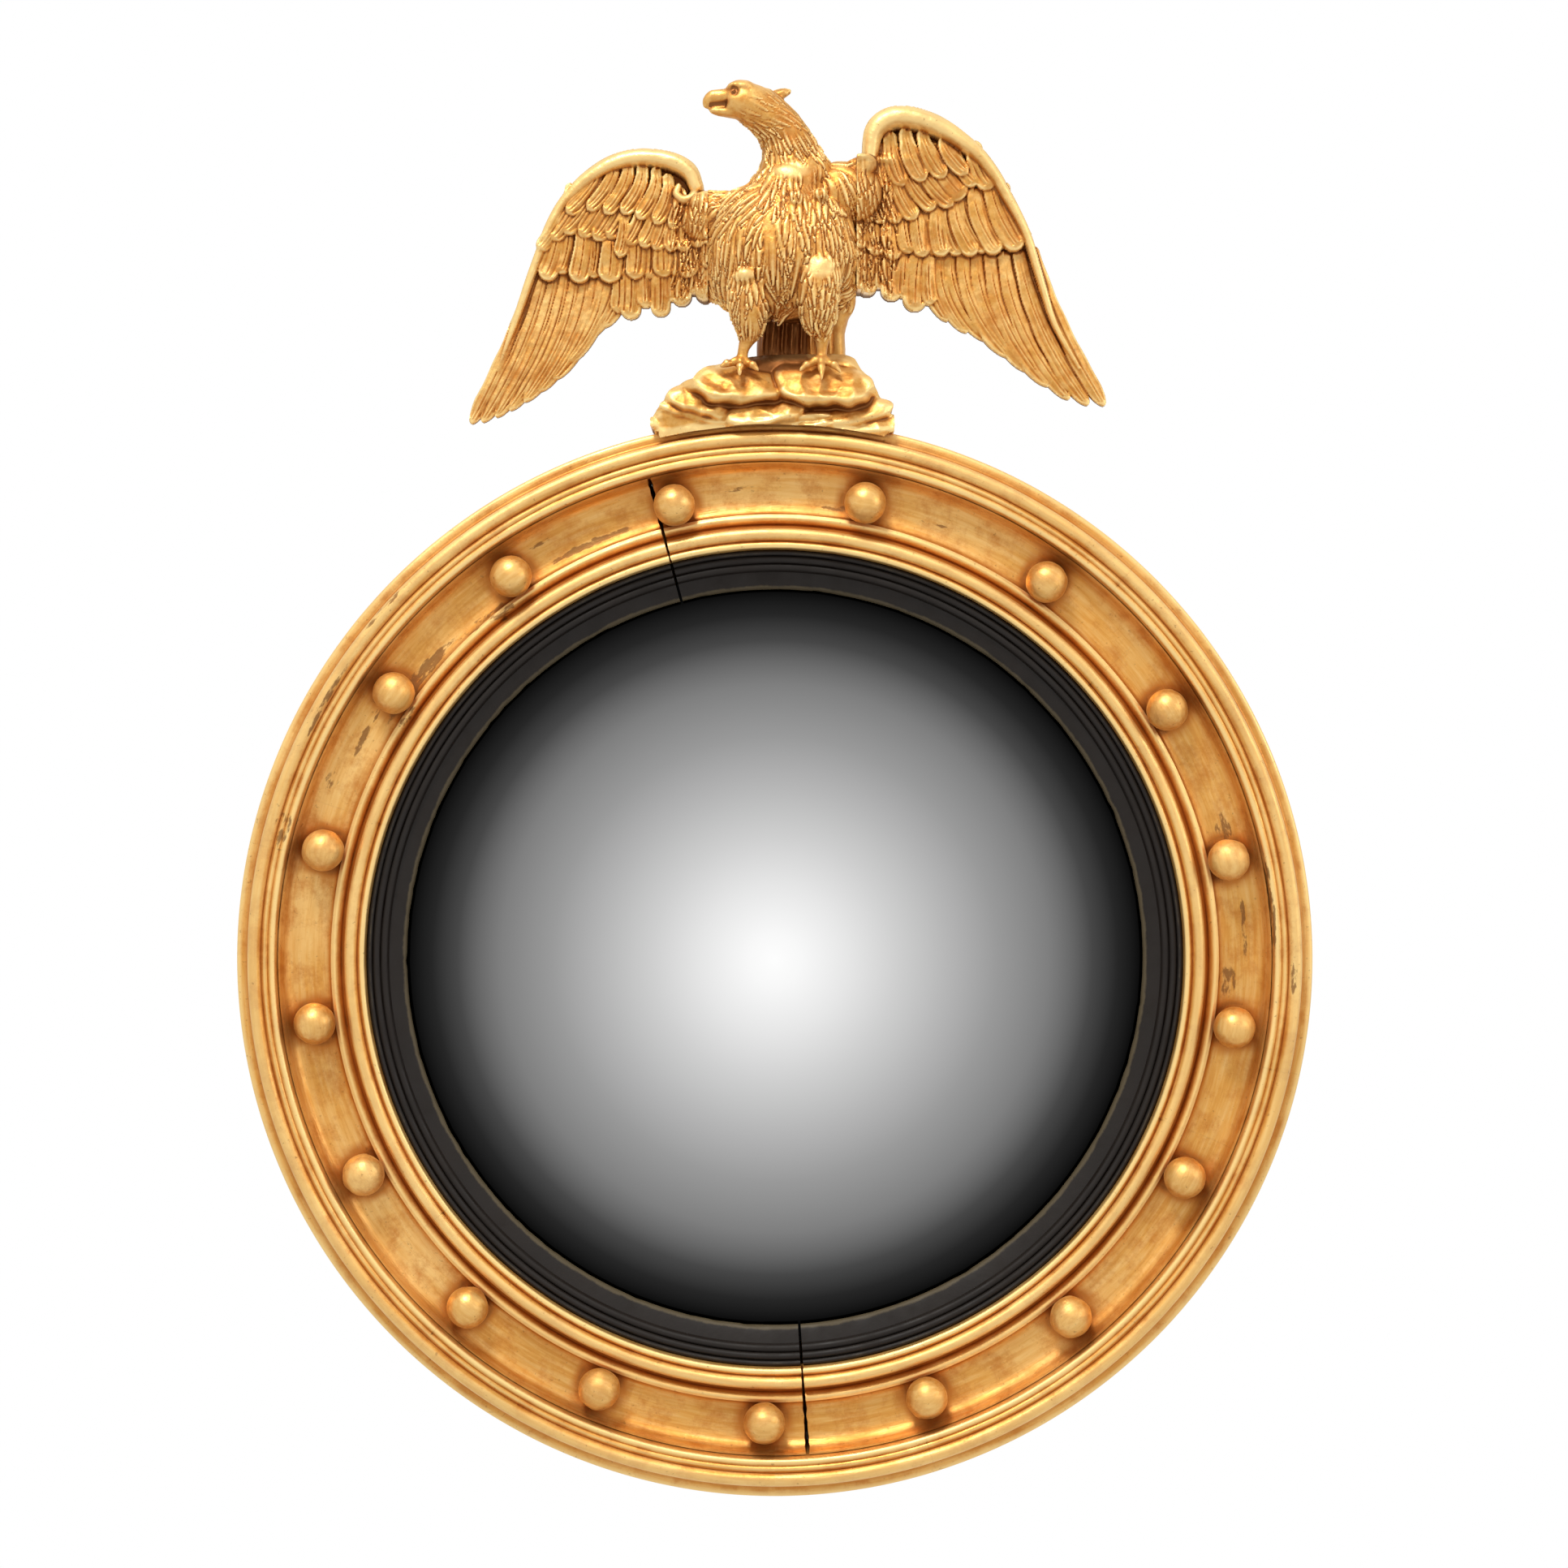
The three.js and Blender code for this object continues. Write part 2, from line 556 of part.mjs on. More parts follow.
// The rows run from the long flight feathers to the small ones under the leading edge.
function leftWing() {
  const flight = {
    roots: [[-145, 90], [-125, 86], [-104, 85]],
    tips: [[-178.5, -1.5], [-163, 3], [-138, 20], [-120, 41], [-106, 56]],
    count: 7,
    width: 13,
    depths: [21, 17],
    thickness: 8,
    bow: 7.5,
  };
  const inner = {
    roots: [[-92, 88.5], [-66, 92], [-38, 96]],
    tips: [[-87, 61.5], [-68, 63], [-54, 69], [-36, 70.5]],
    count: 4,
    width: 18,
    depths: [21, 17.5],
    thickness: 9,
  };
  const middle = {
    roots: [[-124, 113], [-89, 117], [-40, 119]],
    tips: [[-134, 81], [-111, 80], [-78, 83], [-42, 88]],
    count: 6,
    width: 20,
    depths: [26, 24.5],
    thickness: 10,
  };
  const upper = {
    roots: [[-107, 136], [-80, 142], [-46, 134]],
    tips: [[-118, 113], [-88, 113], [-44, 116]],
    count: 5,
    width: 20,
    depths: [27.5, 27],
    thickness: 12,
  };
  return wing({
    roll: [
      [-33, 125],
      [-41, 130],
      [-49.5, 139.5],
      [-59, 148],
      [-72, 154.5],
      [-90, 153],
      [-105, 145],
      [-117.5, 134.5],
      [-127, 122.5],
      [-134.5, 109.5],
      [-141, 95.5],
      [-146.5, 82],
    ],
    rows: [flight, inner, middle, upper],
    keep: box(-FAR, LEFT_JOINT - GAP / 2, -FAR, FAR, -FAR, FAR),
    place: LEFT_DOWEL,
  });
}

function rightWing() {
  const flight = {
    roots: [[156, 93], [132, 96], [98, 98]],
    tips: [[194, 9.5], [180, 14], [157, 28.5], [133, 44], [95, 65]],
    count: 9,
    width: 13,
    depths: [21, 17],
    thickness: 8,
    bow: -9.5,
  };
  const inner = {
    roots: [[88, 98], [74, 99], [47, 100]],
    tips: [[82, 65.5], [67, 71], [48, 76]],
    count: 3,
    width: 20,
    depths: [21, 17.5],
    thickness: 9,
  };
  const middle = {
    roots: [[129, 134], [98, 130], [50, 122]],
    tips: [[144, 101], [119, 97], [83, 95], [50, 94]],
    count: 6,
    width: 21,
    depths: [26, 24.5],
    thickness: 10,
  };
  const upper = {
    roots: [[109, 160], [86, 160], [55, 146]],
    tips: [[126, 128], [105, 128], [82, 121], [52, 115]],
    count: 5,
    width: 22,
    depths: [27.5, 27],
    thickness: 12,
  };
  return wing({
    roll: [
      [42, 138],
      [51, 147],
      [54, 162],
      [59, 173],
      [70, 179],
      [83, 177.5],
      [99.5, 171],
      [115, 160.5],
      [125.5, 148.5],
      [135, 133.5],
      [143, 117.5],
      [149.5, 103],
      [155, 89],
    ],
    rows: [flight, inner, middle, upper],
    keep: box(RIGHT_JOINT + GAP / 2, FAR, -FAR, FAR, -FAR, FAR),
    place: RIGHT_DOWEL,
  });
}

// One foot: three toes forward, each ending in a claw.
function toes(x, z, reaches) {
  return reaches.map(([dx, dy, dz]) =>
    loft(
      [
        [x, -55, z, 3.2, 3.2],
        [x + dx * 0.4, -55 - dy * 0.4, z + 0.6, 3, 3],
        [x + dx * 0.8, -55 - dy * 0.8, z + dz * 0.7, 2.6, 2.6],
        [x + dx, -55 - dy, z + dz, 1, 1],
      ],
      5,
      4,
      { depthways: point(0.2, 0, 1) },
    ),
  );
}

// The trunk, neck and head as tapered masses, the head turned to the left.
function trunkAndHead() {
  const trunk = [
    [5, -38, 150, 10, 12],
    [5, -38, 143, 16, 17],
    [5, -38, 134, 23, 22],
    [4.5, -38, 126, 36.5, 26],
    [4, -39, 111, 43, 30],
    [4, -40, 92, 45, 31],
    [6, -38, 76, 41, 28],
    [9, -34, 61, 33, 21],
    [9, -30, 46, 26, 13],
  ];
  const neckAndHead = [
    [13, -38, 137, 23, 19],
    [9, -38, 152.5, 19, 16],
    [6.5, -40, 162.5, 15.4, 14.5],
    [0.5, -43, 170.5, 14, 13.5],
    [-7.5, -46, 178, 14, 12.5],
    [-17, -49, 182.5, 12.2, 11],
    [-27, -50, 182.5, 9.2, 8.4],
    [-35.5, -50, 182, 7.4, 6],
    [-42, -50, 179, 4.4, 3.6],
  ];
  const crest = [[0, -42, 179, 6, 6], [5, -41, 186, 4.6, 4.6], [10, -41, 192.5, 2.6, 2.6]];
  const brow = lump(-19, -50, 188.5, [9, 8.5, 6.4], { around: 8, along: 4 });
  const leftShoulder = lump(-30, -32, 115.5, [20, 20, 18.5], { along: 4 });
  const rightShoulder = lump(38, -33, 131, [24, 20, 19.5], { along: 4 });
  const nape = lump(19, -36, 137, [17, 16, 17], { along: 4 });
  const lofts = [loft(trunk, 12, 9), loft(neckAndHead, 9, 10), loft(crest, 5, 4)];
  return [...lofts, brow, nape, leftShoulder, rightShoulder];
}

function thighsAndLegs() {
  const left = [
    [-16, -46, 92, 8, 8],
    [-16, -55, 78, 12, 11.5],
    [-15.5, -57, 61, 12, 10.5],
    [-14.5, -55, 48, 8, 7.5],
    [-16, -54, 40, 3.8, 3.8],
    [-19, -55, 26, 3.6, 3.6],
  ];
  const right = [
    [20, -48, 98, 8, 8],
    [23, -59, 82, 12.5, 12],
    [24, -58, 65, 12, 10.5],
    [26, -54, 50, 7.5, 7],
    [27, -53, 41, 3.8, 3.8],
    [26, -54, 25, 3.6, 3.6],
  ];
  return [loft(left, 7, 7), loft(right, 7, 7)];
}

// Carved in one block of wood, with the feet let into the stones.
function eagleBody() {
  const tail = featherRow({
    roots: [[-3, 82], [36, 88]],
    tips: [[-8, 36], [37.5, 36]],
    count: 5,
    width: 14,
    depths: [17, 11],
    thickness: 12,
  });
  const feet = [
    ...toes(-20, 31.5, [[-11, 5, -3], [-0.5, 10, -7.5], [10.5, 5, -5]]),
    ...toes(26, 32, [[-11.5, 5, -5.5], [-0.5, 11, -10], [12, 5, -6.5]]),
  ];
  const block = box(LEFT_JOINT + GAP / 2, RIGHT_JOINT - GAP / 2, -FAR, -BACK_PLANE, -FAR, JOINT_TOP)
    .add(box(-FAR, RIGHT_JOINT - GAP / 2, -FAR, -BACK_PLANE, JOINT_TOP - 1, FAR));
  const whole = joined([...trunkAndHead(), ...thighsAndLegs(), ...tail, ...feet]);
  return [...bracketScrewHoles(0), dowel(...LEFT_DOWEL, GAP), dowel(...RIGHT_DOWEL, GAP)].reduce(
    (body, hole) => body.subtract(hole),
    whole.intersect(block).subtract(rocks(GAP)),
  );
}

// ---- Assembly ----

const GILT = { color: 0xc9943f, roughness: 0.42, metalness: 0.75 };
const EBONISED = { color: 0x241f1f, roughness: 0.5, metalness: 0 };
const MIRROR = { color: 0xe8eaec, roughness: 0.04, metalness: 1 };
const PINE = { color: 0x9a7448, roughness: 0.85, metalness: 0 };
const BRASS = { color: 0xb08d4c, roughness: 0.4, metalness: 1 };
const IRON = { color: 0x3d3936, roughness: 0.7, metalness: 0.8 };

const mirror = new THREE.Group();
mirror.name = "girandole_mirror";

function group(name) {
  const made = new THREE.Group();
  made.name = name;
  mirror.add(made);
  return made;
}

function put(parent, name, body, look) {
  const mesh = new THREE.Mesh(geometryOf(body), new THREE.MeshStandardMaterial(look));
  mesh.name = name;
  parent.add(mesh);
  return mesh;
}

const numbered = (stem, i) => stem + "_" + String(i + 1).padStart(2, "0");

const frame = group("frame");
felloes().forEach((body, i) => put(frame, numbered("felloe", i), body, GILT));
rimLengths().forEach((body, i) => put(frame, numbered("rim_moulding", i), body, GILT));
slipHalves().forEach((body, i) => put(frame, ["slip_right", "slip_left"][i], body, EBONISED));
BALL_AZIMUTHS.forEach((azimuth, i) => {
  const made = put(frame, numbered("ball", i), ball(), GILT);
  made.position.set(BALL_CIRCLE * Math.sin(radians(azimuth)), 0, BALL_CIRCLE * Math.cos(radians(azimuth)));
});

const glazing = group("glazing");
put(glazing, "mirror_plate", plate(), MIRROR);
BLOCK_AZIMUTHS.forEach((azimuth, i) => {
  put(glazing, numbered("packing_block", i), packingBlock(azimuth), PINE);
});
planks().forEach((body, i) => put(glazing, numbered("backboard_plank", i), body, PINE));

const crest = group("crest");
const carved = (name, body) => put(crest, name, body.translate([0, 0, CREST_FOOT]), GILT);
carved("rock_base", rockBase());
carved("eagle_body", eagleBody());
carved("wing_left", leftWing());
carved("wing_right", rightWing());
[["left", LEFT_DOWEL], ["right", RIGHT_DOWEL]].forEach(([label, place]) => {
  put(crest, "wing_dowel_" + label, dowel(...place).translate([0, 0, CREST_FOOT]), PINE);
});
put(crest, "crest_bracket", bracket(), IRON);
BRACKET_SCREWS.forEach((z, i) => {
  put(crest, numbered("bracket_screw", i), screw(BRACKET_X, CREST_FOOT + z, BRACKET_SCREW), IRON);
});

for (const [side, label] of [[-1, "left"], [1, "right"]]) {
  const hanger = group("hanger_" + label);
  put(hanger, "hanger_strap_" + label, strap(side), BRASS);
  put(hanger, "d_ring_" + label, dRing(side), BRASS);
  strapScrewPlaces(side).forEach((x, i) =>
    put(hanger, numbered("strap_screw_" + label, i), screw(x, HANGER_Z, STRAP_SCREW), BRASS),
  );
}

export default mirror;
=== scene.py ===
"""A round convex wall mirror in a gilded frame set with balls, with a carved spread eagle as its crest.

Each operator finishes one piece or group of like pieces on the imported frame. Lengths inside the
carving code are in millimetres, as [radius, height off the wall] or [x, z], and become metres at the mesh.
"""
import math

import bmesh
import bpy
import numpy as np
from bpy.props import FloatProperty, FloatVectorProperty, IntProperty, PointerProperty
from bpy.types import Operator, Panel, PropertyGroup
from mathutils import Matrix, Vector


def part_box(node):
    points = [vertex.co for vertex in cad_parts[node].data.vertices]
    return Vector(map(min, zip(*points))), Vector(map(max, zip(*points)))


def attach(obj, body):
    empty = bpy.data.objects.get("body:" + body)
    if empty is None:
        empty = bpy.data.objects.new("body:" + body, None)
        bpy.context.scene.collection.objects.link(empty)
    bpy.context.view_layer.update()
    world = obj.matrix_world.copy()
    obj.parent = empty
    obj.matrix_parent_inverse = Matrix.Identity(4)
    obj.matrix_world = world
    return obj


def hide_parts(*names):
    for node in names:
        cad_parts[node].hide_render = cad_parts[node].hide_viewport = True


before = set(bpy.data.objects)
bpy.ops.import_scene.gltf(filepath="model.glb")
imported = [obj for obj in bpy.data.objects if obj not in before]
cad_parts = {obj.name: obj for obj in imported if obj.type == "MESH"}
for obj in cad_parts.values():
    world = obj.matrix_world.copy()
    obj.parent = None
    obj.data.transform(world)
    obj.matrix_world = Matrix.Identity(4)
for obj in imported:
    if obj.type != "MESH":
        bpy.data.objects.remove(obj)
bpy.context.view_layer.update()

bl_info = {
    "name": "Girandole Mirror",
    "version": (1, 0, 0),
    "blender": (4, 5, 0),
    "location": "View3D > Sidebar > Mirror",
    "description": "Finishes a gilded convex wall mirror with a carved eagle crest",
    "category": "Object",
}

MM = 0.001


def low(node):
    """A CAD node's lowest corner, in millimetres."""
    return np.array(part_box(node)[0]) / MM


def high(node):
    """A CAD node's highest corner, in millimetres."""
    return np.array(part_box(node)[1]) / MM


# ---- Sizes: those of the frame, and what is set off from them ----

# Radii and thicknesses.
GLUE_GAP = 0.3
SLIP_PLAY = 0.5
LEDGE_WIDTH = 6.3
SLIP_LAP = 10
RIM_RADIUS = -low("rim_moulding_03")[2]
SEAT_RADIUS = high("felloe_02")[0] + GLUE_GAP
REBATE_RADIUS = high("slip_right")[0] + SLIP_PLAY
SIGHT_RADIUS = REBATE_RADIUS - LEDGE_WIDTH
PLATE_RADIUS = high("mirror_plate")[0]
SLIP_INNER = PLATE_RADIUS - SLIP_LAP
BALL_RADIUS = 12
PLATE_CURVE = 824
PLATE_EDGE = 24.7
GLASS_THICKNESS = 3.2

# Joints round the ring, at azimuths in degrees from the top, clockwise as the mirror is looked at.
CRACKED_JOINTS = (-14.7, 176.2)
CRACK_WIDTH = 1.7
HAIRLINE = 0.04
FELLOES_PER_SIDE = 3
TOP_FELLOES = (0, 2 * FELLOES_PER_SIDE - 1)
RIM_LENGTHS = 6
RIM_FIRST_JOINT = 42.5

# Where the gilding gives way to bare wood, as places along y, off the wall at 0.
RING_BARE = (-9, -5)
BODY_BARE = (-15, -9)
ROCKS_BARE = (-12, -6)

# The crest is carved with its z from the ring's top, on grids of this spacing.
LEFT_JOINT = high("wing_left")[0]
RIGHT_JOINT = low("wing_right")[0]
CREST_FOOT = RIM_RADIUS
CREST_STEP = np.array([0, 0, CREST_FOOT])
GRID = 0.5
WEB_HEIGHT = 16.5
WING_BACK = 12
STONE_FRONT = 48.6
CREST_REAR = 5.2
JOINT_PLAY = 0.06


# ---- Meshes ----

def add_piece(name, corners, faces, node_names, body="mirror"):
    """A mesh in place of CAD nodes, its corners in millimetres."""
    mesh = bpy.data.meshes.new(name)
    mesh.from_pydata((np.asarray(corners, float) * MM).tolist(), [], faces)
    mesh.validate()
    piece = bpy.data.objects.new(name, mesh)
    bpy.context.scene.collection.objects.link(piece)
    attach(piece, body)
    if node_names:
        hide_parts(*node_names)
    return piece


def corners_of(piece):
    """A piece's corners in millimetres, one to a row."""
    flat = np.empty(len(piece.data.vertices) * 3)
    piece.data.vertices.foreach_get("co", flat)
    return flat.reshape(-1, 3) / MM


def set_corners(piece, corners):
    """Moves a piece's corners to places in millimetres."""
    piece.data.vertices.foreach_set("co", (corners * MM).ravel())
    piece.data.update()


def normals_of(piece):
    """Which way the skin faces at each corner."""
    flat = np.empty(len(piece.data.vertices) * 3)
    piece.data.vertices.foreach_get("normal", flat)
    return flat.reshape(-1, 3)


def edges_of(piece):
    """The two corners that each edge joins."""
    flat = np.empty(len(piece.data.edges) * 2, int)
    piece.data.edges.foreach_get("vertices", flat)
    return flat.reshape(-1, 2)


def relax(values, edges, rounds, part=0.5):
    """Values at the corners, drawn towards their neighbours' mean."""
    values = np.array(values, float).reshape(len(values), -1)
    near = np.concatenate([edges[:, 0], edges[:, 1]])
    far = np.concatenate([edges[:, 1], edges[:, 0]])
    degree = np.maximum(np.bincount(near, minlength=len(values)), 1)
    for _ in range(rounds):
        mean = [np.bincount(near, values[far, k], len(values)) / degree for k in range(values.shape[1])]
        values += part * (np.stack(mean, 1) - values)
    return values


def keep_number(piece, name, values):
    """Stores one number per corner for the finish to read."""
    attribute = piece.data.attributes.new(name, "FLOAT", "POINT")
    attribute.data.foreach_set("value", np.asarray(values, np.float32).ravel())


def mark_relief(piece, fine, broad, depth, lift, painted_shade):
    """Stores how far each corner lies in a hollow or stands on an edge, for painted shade and a painted
    highlight, and adds more painted shade to the hollows.
    """
    corners = corners_of(piece)
    edges = edges_of(piece)
    normals = normals_of(piece)
    near = relax(corners, edges, fine)
    wide = relax(near, edges, broad - fine)
    sunk = ((near - corners) * normals).sum(1) + 0.5 * ((wide - corners) * normals).sum(1)
    keep_number(piece, "hollow", np.clip(sunk / depth - 0.6 * np.minimum(lift, 0) - 0.05, 0, 1) + painted_shade)
    keep_number(piece, "raised", np.clip(-sunk / depth + 0.25 * np.maximum(lift, 0) - 0.4, 0, 1))


def fade_number(piece, name, factor, extra=0.0):
    """Scales a stored number by a factor from 0 to 1 and adds some more to it."""
    stored = piece.data.attributes[name].data
    values = np.empty(len(stored), np.float32)
    stored.foreach_get("value", values)
    stored.foreach_set("value", (values * np.clip(factor, 0, 1) + extra).astype(np.float32))


def smooth(piece, angle):
    """Shades a piece smooth, apart from edges sharper than an angle in degrees."""
    piece.data.shade_smooth()
    piece.data.set_sharp_from_angle(angle=math.radians(angle))


def finish(piece, look):
    """Gives a piece its material; the frame's own nodes have their slot already."""
    piece.data.materials.clear()
    piece.data.materials.append(look)


# ---- Forms ----

def eased_step(value, start, end):
    """0 before the start and 1 after the end, with a soft rise between them."""
    t = np.clip((value - start) / (end - start), 0, 1)
    return t * t * (3 - 2 * t)


def arc(r, d, radius, start, end, count):
    """Points on part of a circle in a section, angles in degrees from the outward direction."""
    turns = np.radians(np.linspace(start, end, count))
    return [(r + radius * math.cos(a), d + radius * math.sin(a)) for a in turns]


def eased(points, step=1.2):
    """A smooth curve through a section's points."""
    points = np.array(points, float)
    padded = np.vstack([2 * points[0] - points[1], points, 2 * points[-1] - points[-2]])
    out = []
    for a, b, c, d in zip(padded, padded[1:], padded[2:], padded[3:]):
        count = max(2, int(np.linalg.norm(c - b) / step))
        t = np.arange(count)[:, None] / count
        curve = 2 * b + (c - a) * t + (2 * a - 5 * b + 4 * c - d) * t**2 + (3 * b - a - 3 * c + d) * t**3
        out += (curve / 2).tolist()
    return out + [points[-1].tolist()]


def turned_arc(section, start, end, step=1.0):
    """A closed section of [radius, height] turned from one azimuth to another, with flat ends."""
    section = np.array(section, float)
    count = max(2, math.ceil((end - start) / step)) + 1
    azimuths = np.radians(np.linspace(start, end, count))
    corners = np.stack([
        np.outer(np.sin(azimuths), section[:, 0]),
        np.broadcast_to(-section[:, 1], (count, len(section))),
        np.outer(np.cos(azimuths), section[:, 0]),
    ], -1).reshape(-1, 3)
    n = len(section)
    faces = [
        (i * n + j, (i + 1) * n + j, (i + 1) * n + (j + 1) % n, i * n + (j + 1) % n)
        for i in range(count - 1)
        for j in range(n)
    ]
    faces += [tuple(range(n)), tuple(reversed(range((count - 1) * n, count * n)))]
    return corners, faces


def turned_whole(section, sides):
    """A section from the axis to the axis, turned all the way round it."""
    section = np.array(section, float)
    inner = section[1:-1]
    turns = np.radians(np.arange(sides) * 360 / sides)
    rings = np.stack([
        np.outer(inner[:, 0], np.cos(turns)),
        np.broadcast_to(-inner[:, 1:], (len(inner), sides)),
        np.outer(inner[:, 0], np.sin(turns)),
    ], -1).reshape(-1, 3)
    corners = np.vstack([rings, [[0, -section[0, 1], 0], [0, -section[-1, 1], 0]]])
    first, last = len(corners) - 2, len(corners) - 1
    faces = []
    for j in range(sides):
        k = (j + 1) % sides
        faces.append((first, j, k))
        faces += [(i * sides + j, (i + 1) * sides + j, (i + 1) * sides + k, i * sides + k)
                  for i in range(len(inner) - 1)]
        faces.append((last, (len(inner) - 1) * sides + k, (len(inner) - 1) * sides + j))
    return corners, faces


def face_outwards(piece):
    """Turns the front of every face outwards."""
    form = bmesh.new()
    form.from_mesh(piece.data)
    bmesh.ops.recalc_face_normals(form, faces=form.faces)
    form.to_mesh(piece.data)
    form.free()


def ellipsoid(x, y, z, radii, tilt=0):
    """A rounded mass, tilted in the plane of the wall."""
    around, along = 40, 24
    turns = np.linspace(0, 2 * np.pi, around, endpoint=False)
    rises = np.linspace(-np.pi / 2, np.pi / 2, along)[1:-1]
    body = [[np.cos(r) * np.cos(t), np.cos(r) * np.sin(t), np.sin(r)] for r in rises for t in turns]
    corners = np.array(body + [[0, 0, -1], [0, 0, 1]]) * radii
    a = math.radians(tilt)
    lean = np.array([[math.cos(a), 0, -math.sin(a)], [0, 1, 0], [math.sin(a), 0, math.cos(a)]])
    return corners @ lean.T + [x, y, z], tube_faces(len(rises), around)


def tube_faces(rows, around):
    """Faces of rings of corners that are closed by one corner at each end."""
    first, last = rows * around, rows * around + 1
    faces = []
    for j in range(around):
        k = (j + 1) % around
        faces += [(i * around + j, i * around + k, (i + 1) * around + k, (i + 1) * around + j)
                  for i in range(rows - 1)]
        faces.append((first, k, j))
        faces.append((last, (rows - 1) * around + j, (rows - 1) * around + k))
    return faces


def loft(stations, around=36, step=1.2, depthways=(0, 1, 0)):
    """A tapering form along stations of x, y, z, half width across the line and half depth off it."""
    stations = np.array(eased(stations, step))
    ahead = np.gradient(stations[:, :3], axis=0)
    side = np.cross(ahead, depthways)
    side /= np.linalg.norm(side, axis=1)[:, None]
    off = np.cross(side, ahead)
    off /= np.linalg.norm(off, axis=1)[:, None]
    turns = np.linspace(0, 2 * np.pi, around, endpoint=False)
    rows = stations[1:-1]
    rings = (rows[:, None, :3]
             + side[1:-1, None] * (rows[:, 3, None] * np.cos(turns))[..., None]
             + off[1:-1, None] * (rows[:, 4, None] * np.sin(turns))[..., None])
    corners = np.vstack([rings.reshape(-1, 3), stations[0, :3], stations[-1, :3]])
    return corners, tube_faces(len(rows), around)


def gathered(forms):
    """Several forms as one list of corners and one of faces."""
    corners, faces, count = [], [], 0
    for points, sides in forms:
        corners.append(points)
        faces += [tuple(i + count for i in face) for face in sides]
        count += len(points)
    return np.vstack(corners), faces


def carve_as_one(piece, voxel, softening):
    """Joins overlapping forms into one skin and softens where they meet."""
    modifier = piece.modifiers.new("skin", "REMESH")
    modifier.mode = "VOXEL"
    modifier.voxel_size = voxel * MM
    skin = bpy.data.meshes.new_from_object(piece.evaluated_get(bpy.context.evaluated_depsgraph_get()))
    piece.modifiers.clear()
    piece.data = skin
    set_corners(piece, relax(corners_of(piece), edges_of(piece), softening))


def cut_out(piece, boxes):
    """Cuts boxes, given by two corners in millimetres, out of a piece."""
    for lowest, highest in boxes:
        corners = [(x, y, z) for x in (lowest[0], highest[0]) for y in (lowest[1], highest[1])
                   for z in (lowest[2], highest[2])]
        faces = [(0, 1, 3, 2), (4, 6, 7, 5), (0, 4, 5, 1), (2, 3, 7, 6), (0, 2, 6, 4), (1, 5, 7, 3)]
        mesh = bpy.data.meshes.new("cutter")
        mesh.from_pydata((np.array(corners) * MM).tolist(), [], faces)
        cutter = bpy.data.objects.new("cutter", mesh)
        bpy.context.scene.collection.objects.link(cutter)
        modifier = piece.modifiers.new("cut", "BOOLEAN")
        modifier.object = cutter
        modifier.solver = "EXACT"
        bpy.context.view_layer.update()
        cut = bpy.data.meshes.new_from_object(piece.evaluated_get(bpy.context.evaluated_depsgraph_get()))
        piece.modifiers.clear()
        piece.data = cut
        bpy.data.objects.remove(cutter)


def soft_noise(corners, size, seed, octaves=3):
    """Smooth values from about -1 to 1 at points in millimetres, from sums of tilted waves."""
    waves_each = 6
    rng = np.random.default_rng(seed)
    total = np.zeros(len(corners))
    for octave in range(octaves):
        for _ in range(waves_each):
            direction = rng.normal(size=3)
            direction /= np.linalg.norm(direction)
            pace = 2 * np.pi / (size / 2**octave) * rng.uniform(0.7, 1.3)
            total += np.sin(corners @ direction * pace + rng.uniform(0, 6.3)) / 2**octave
    return total / 4


# ---- Finishes ----

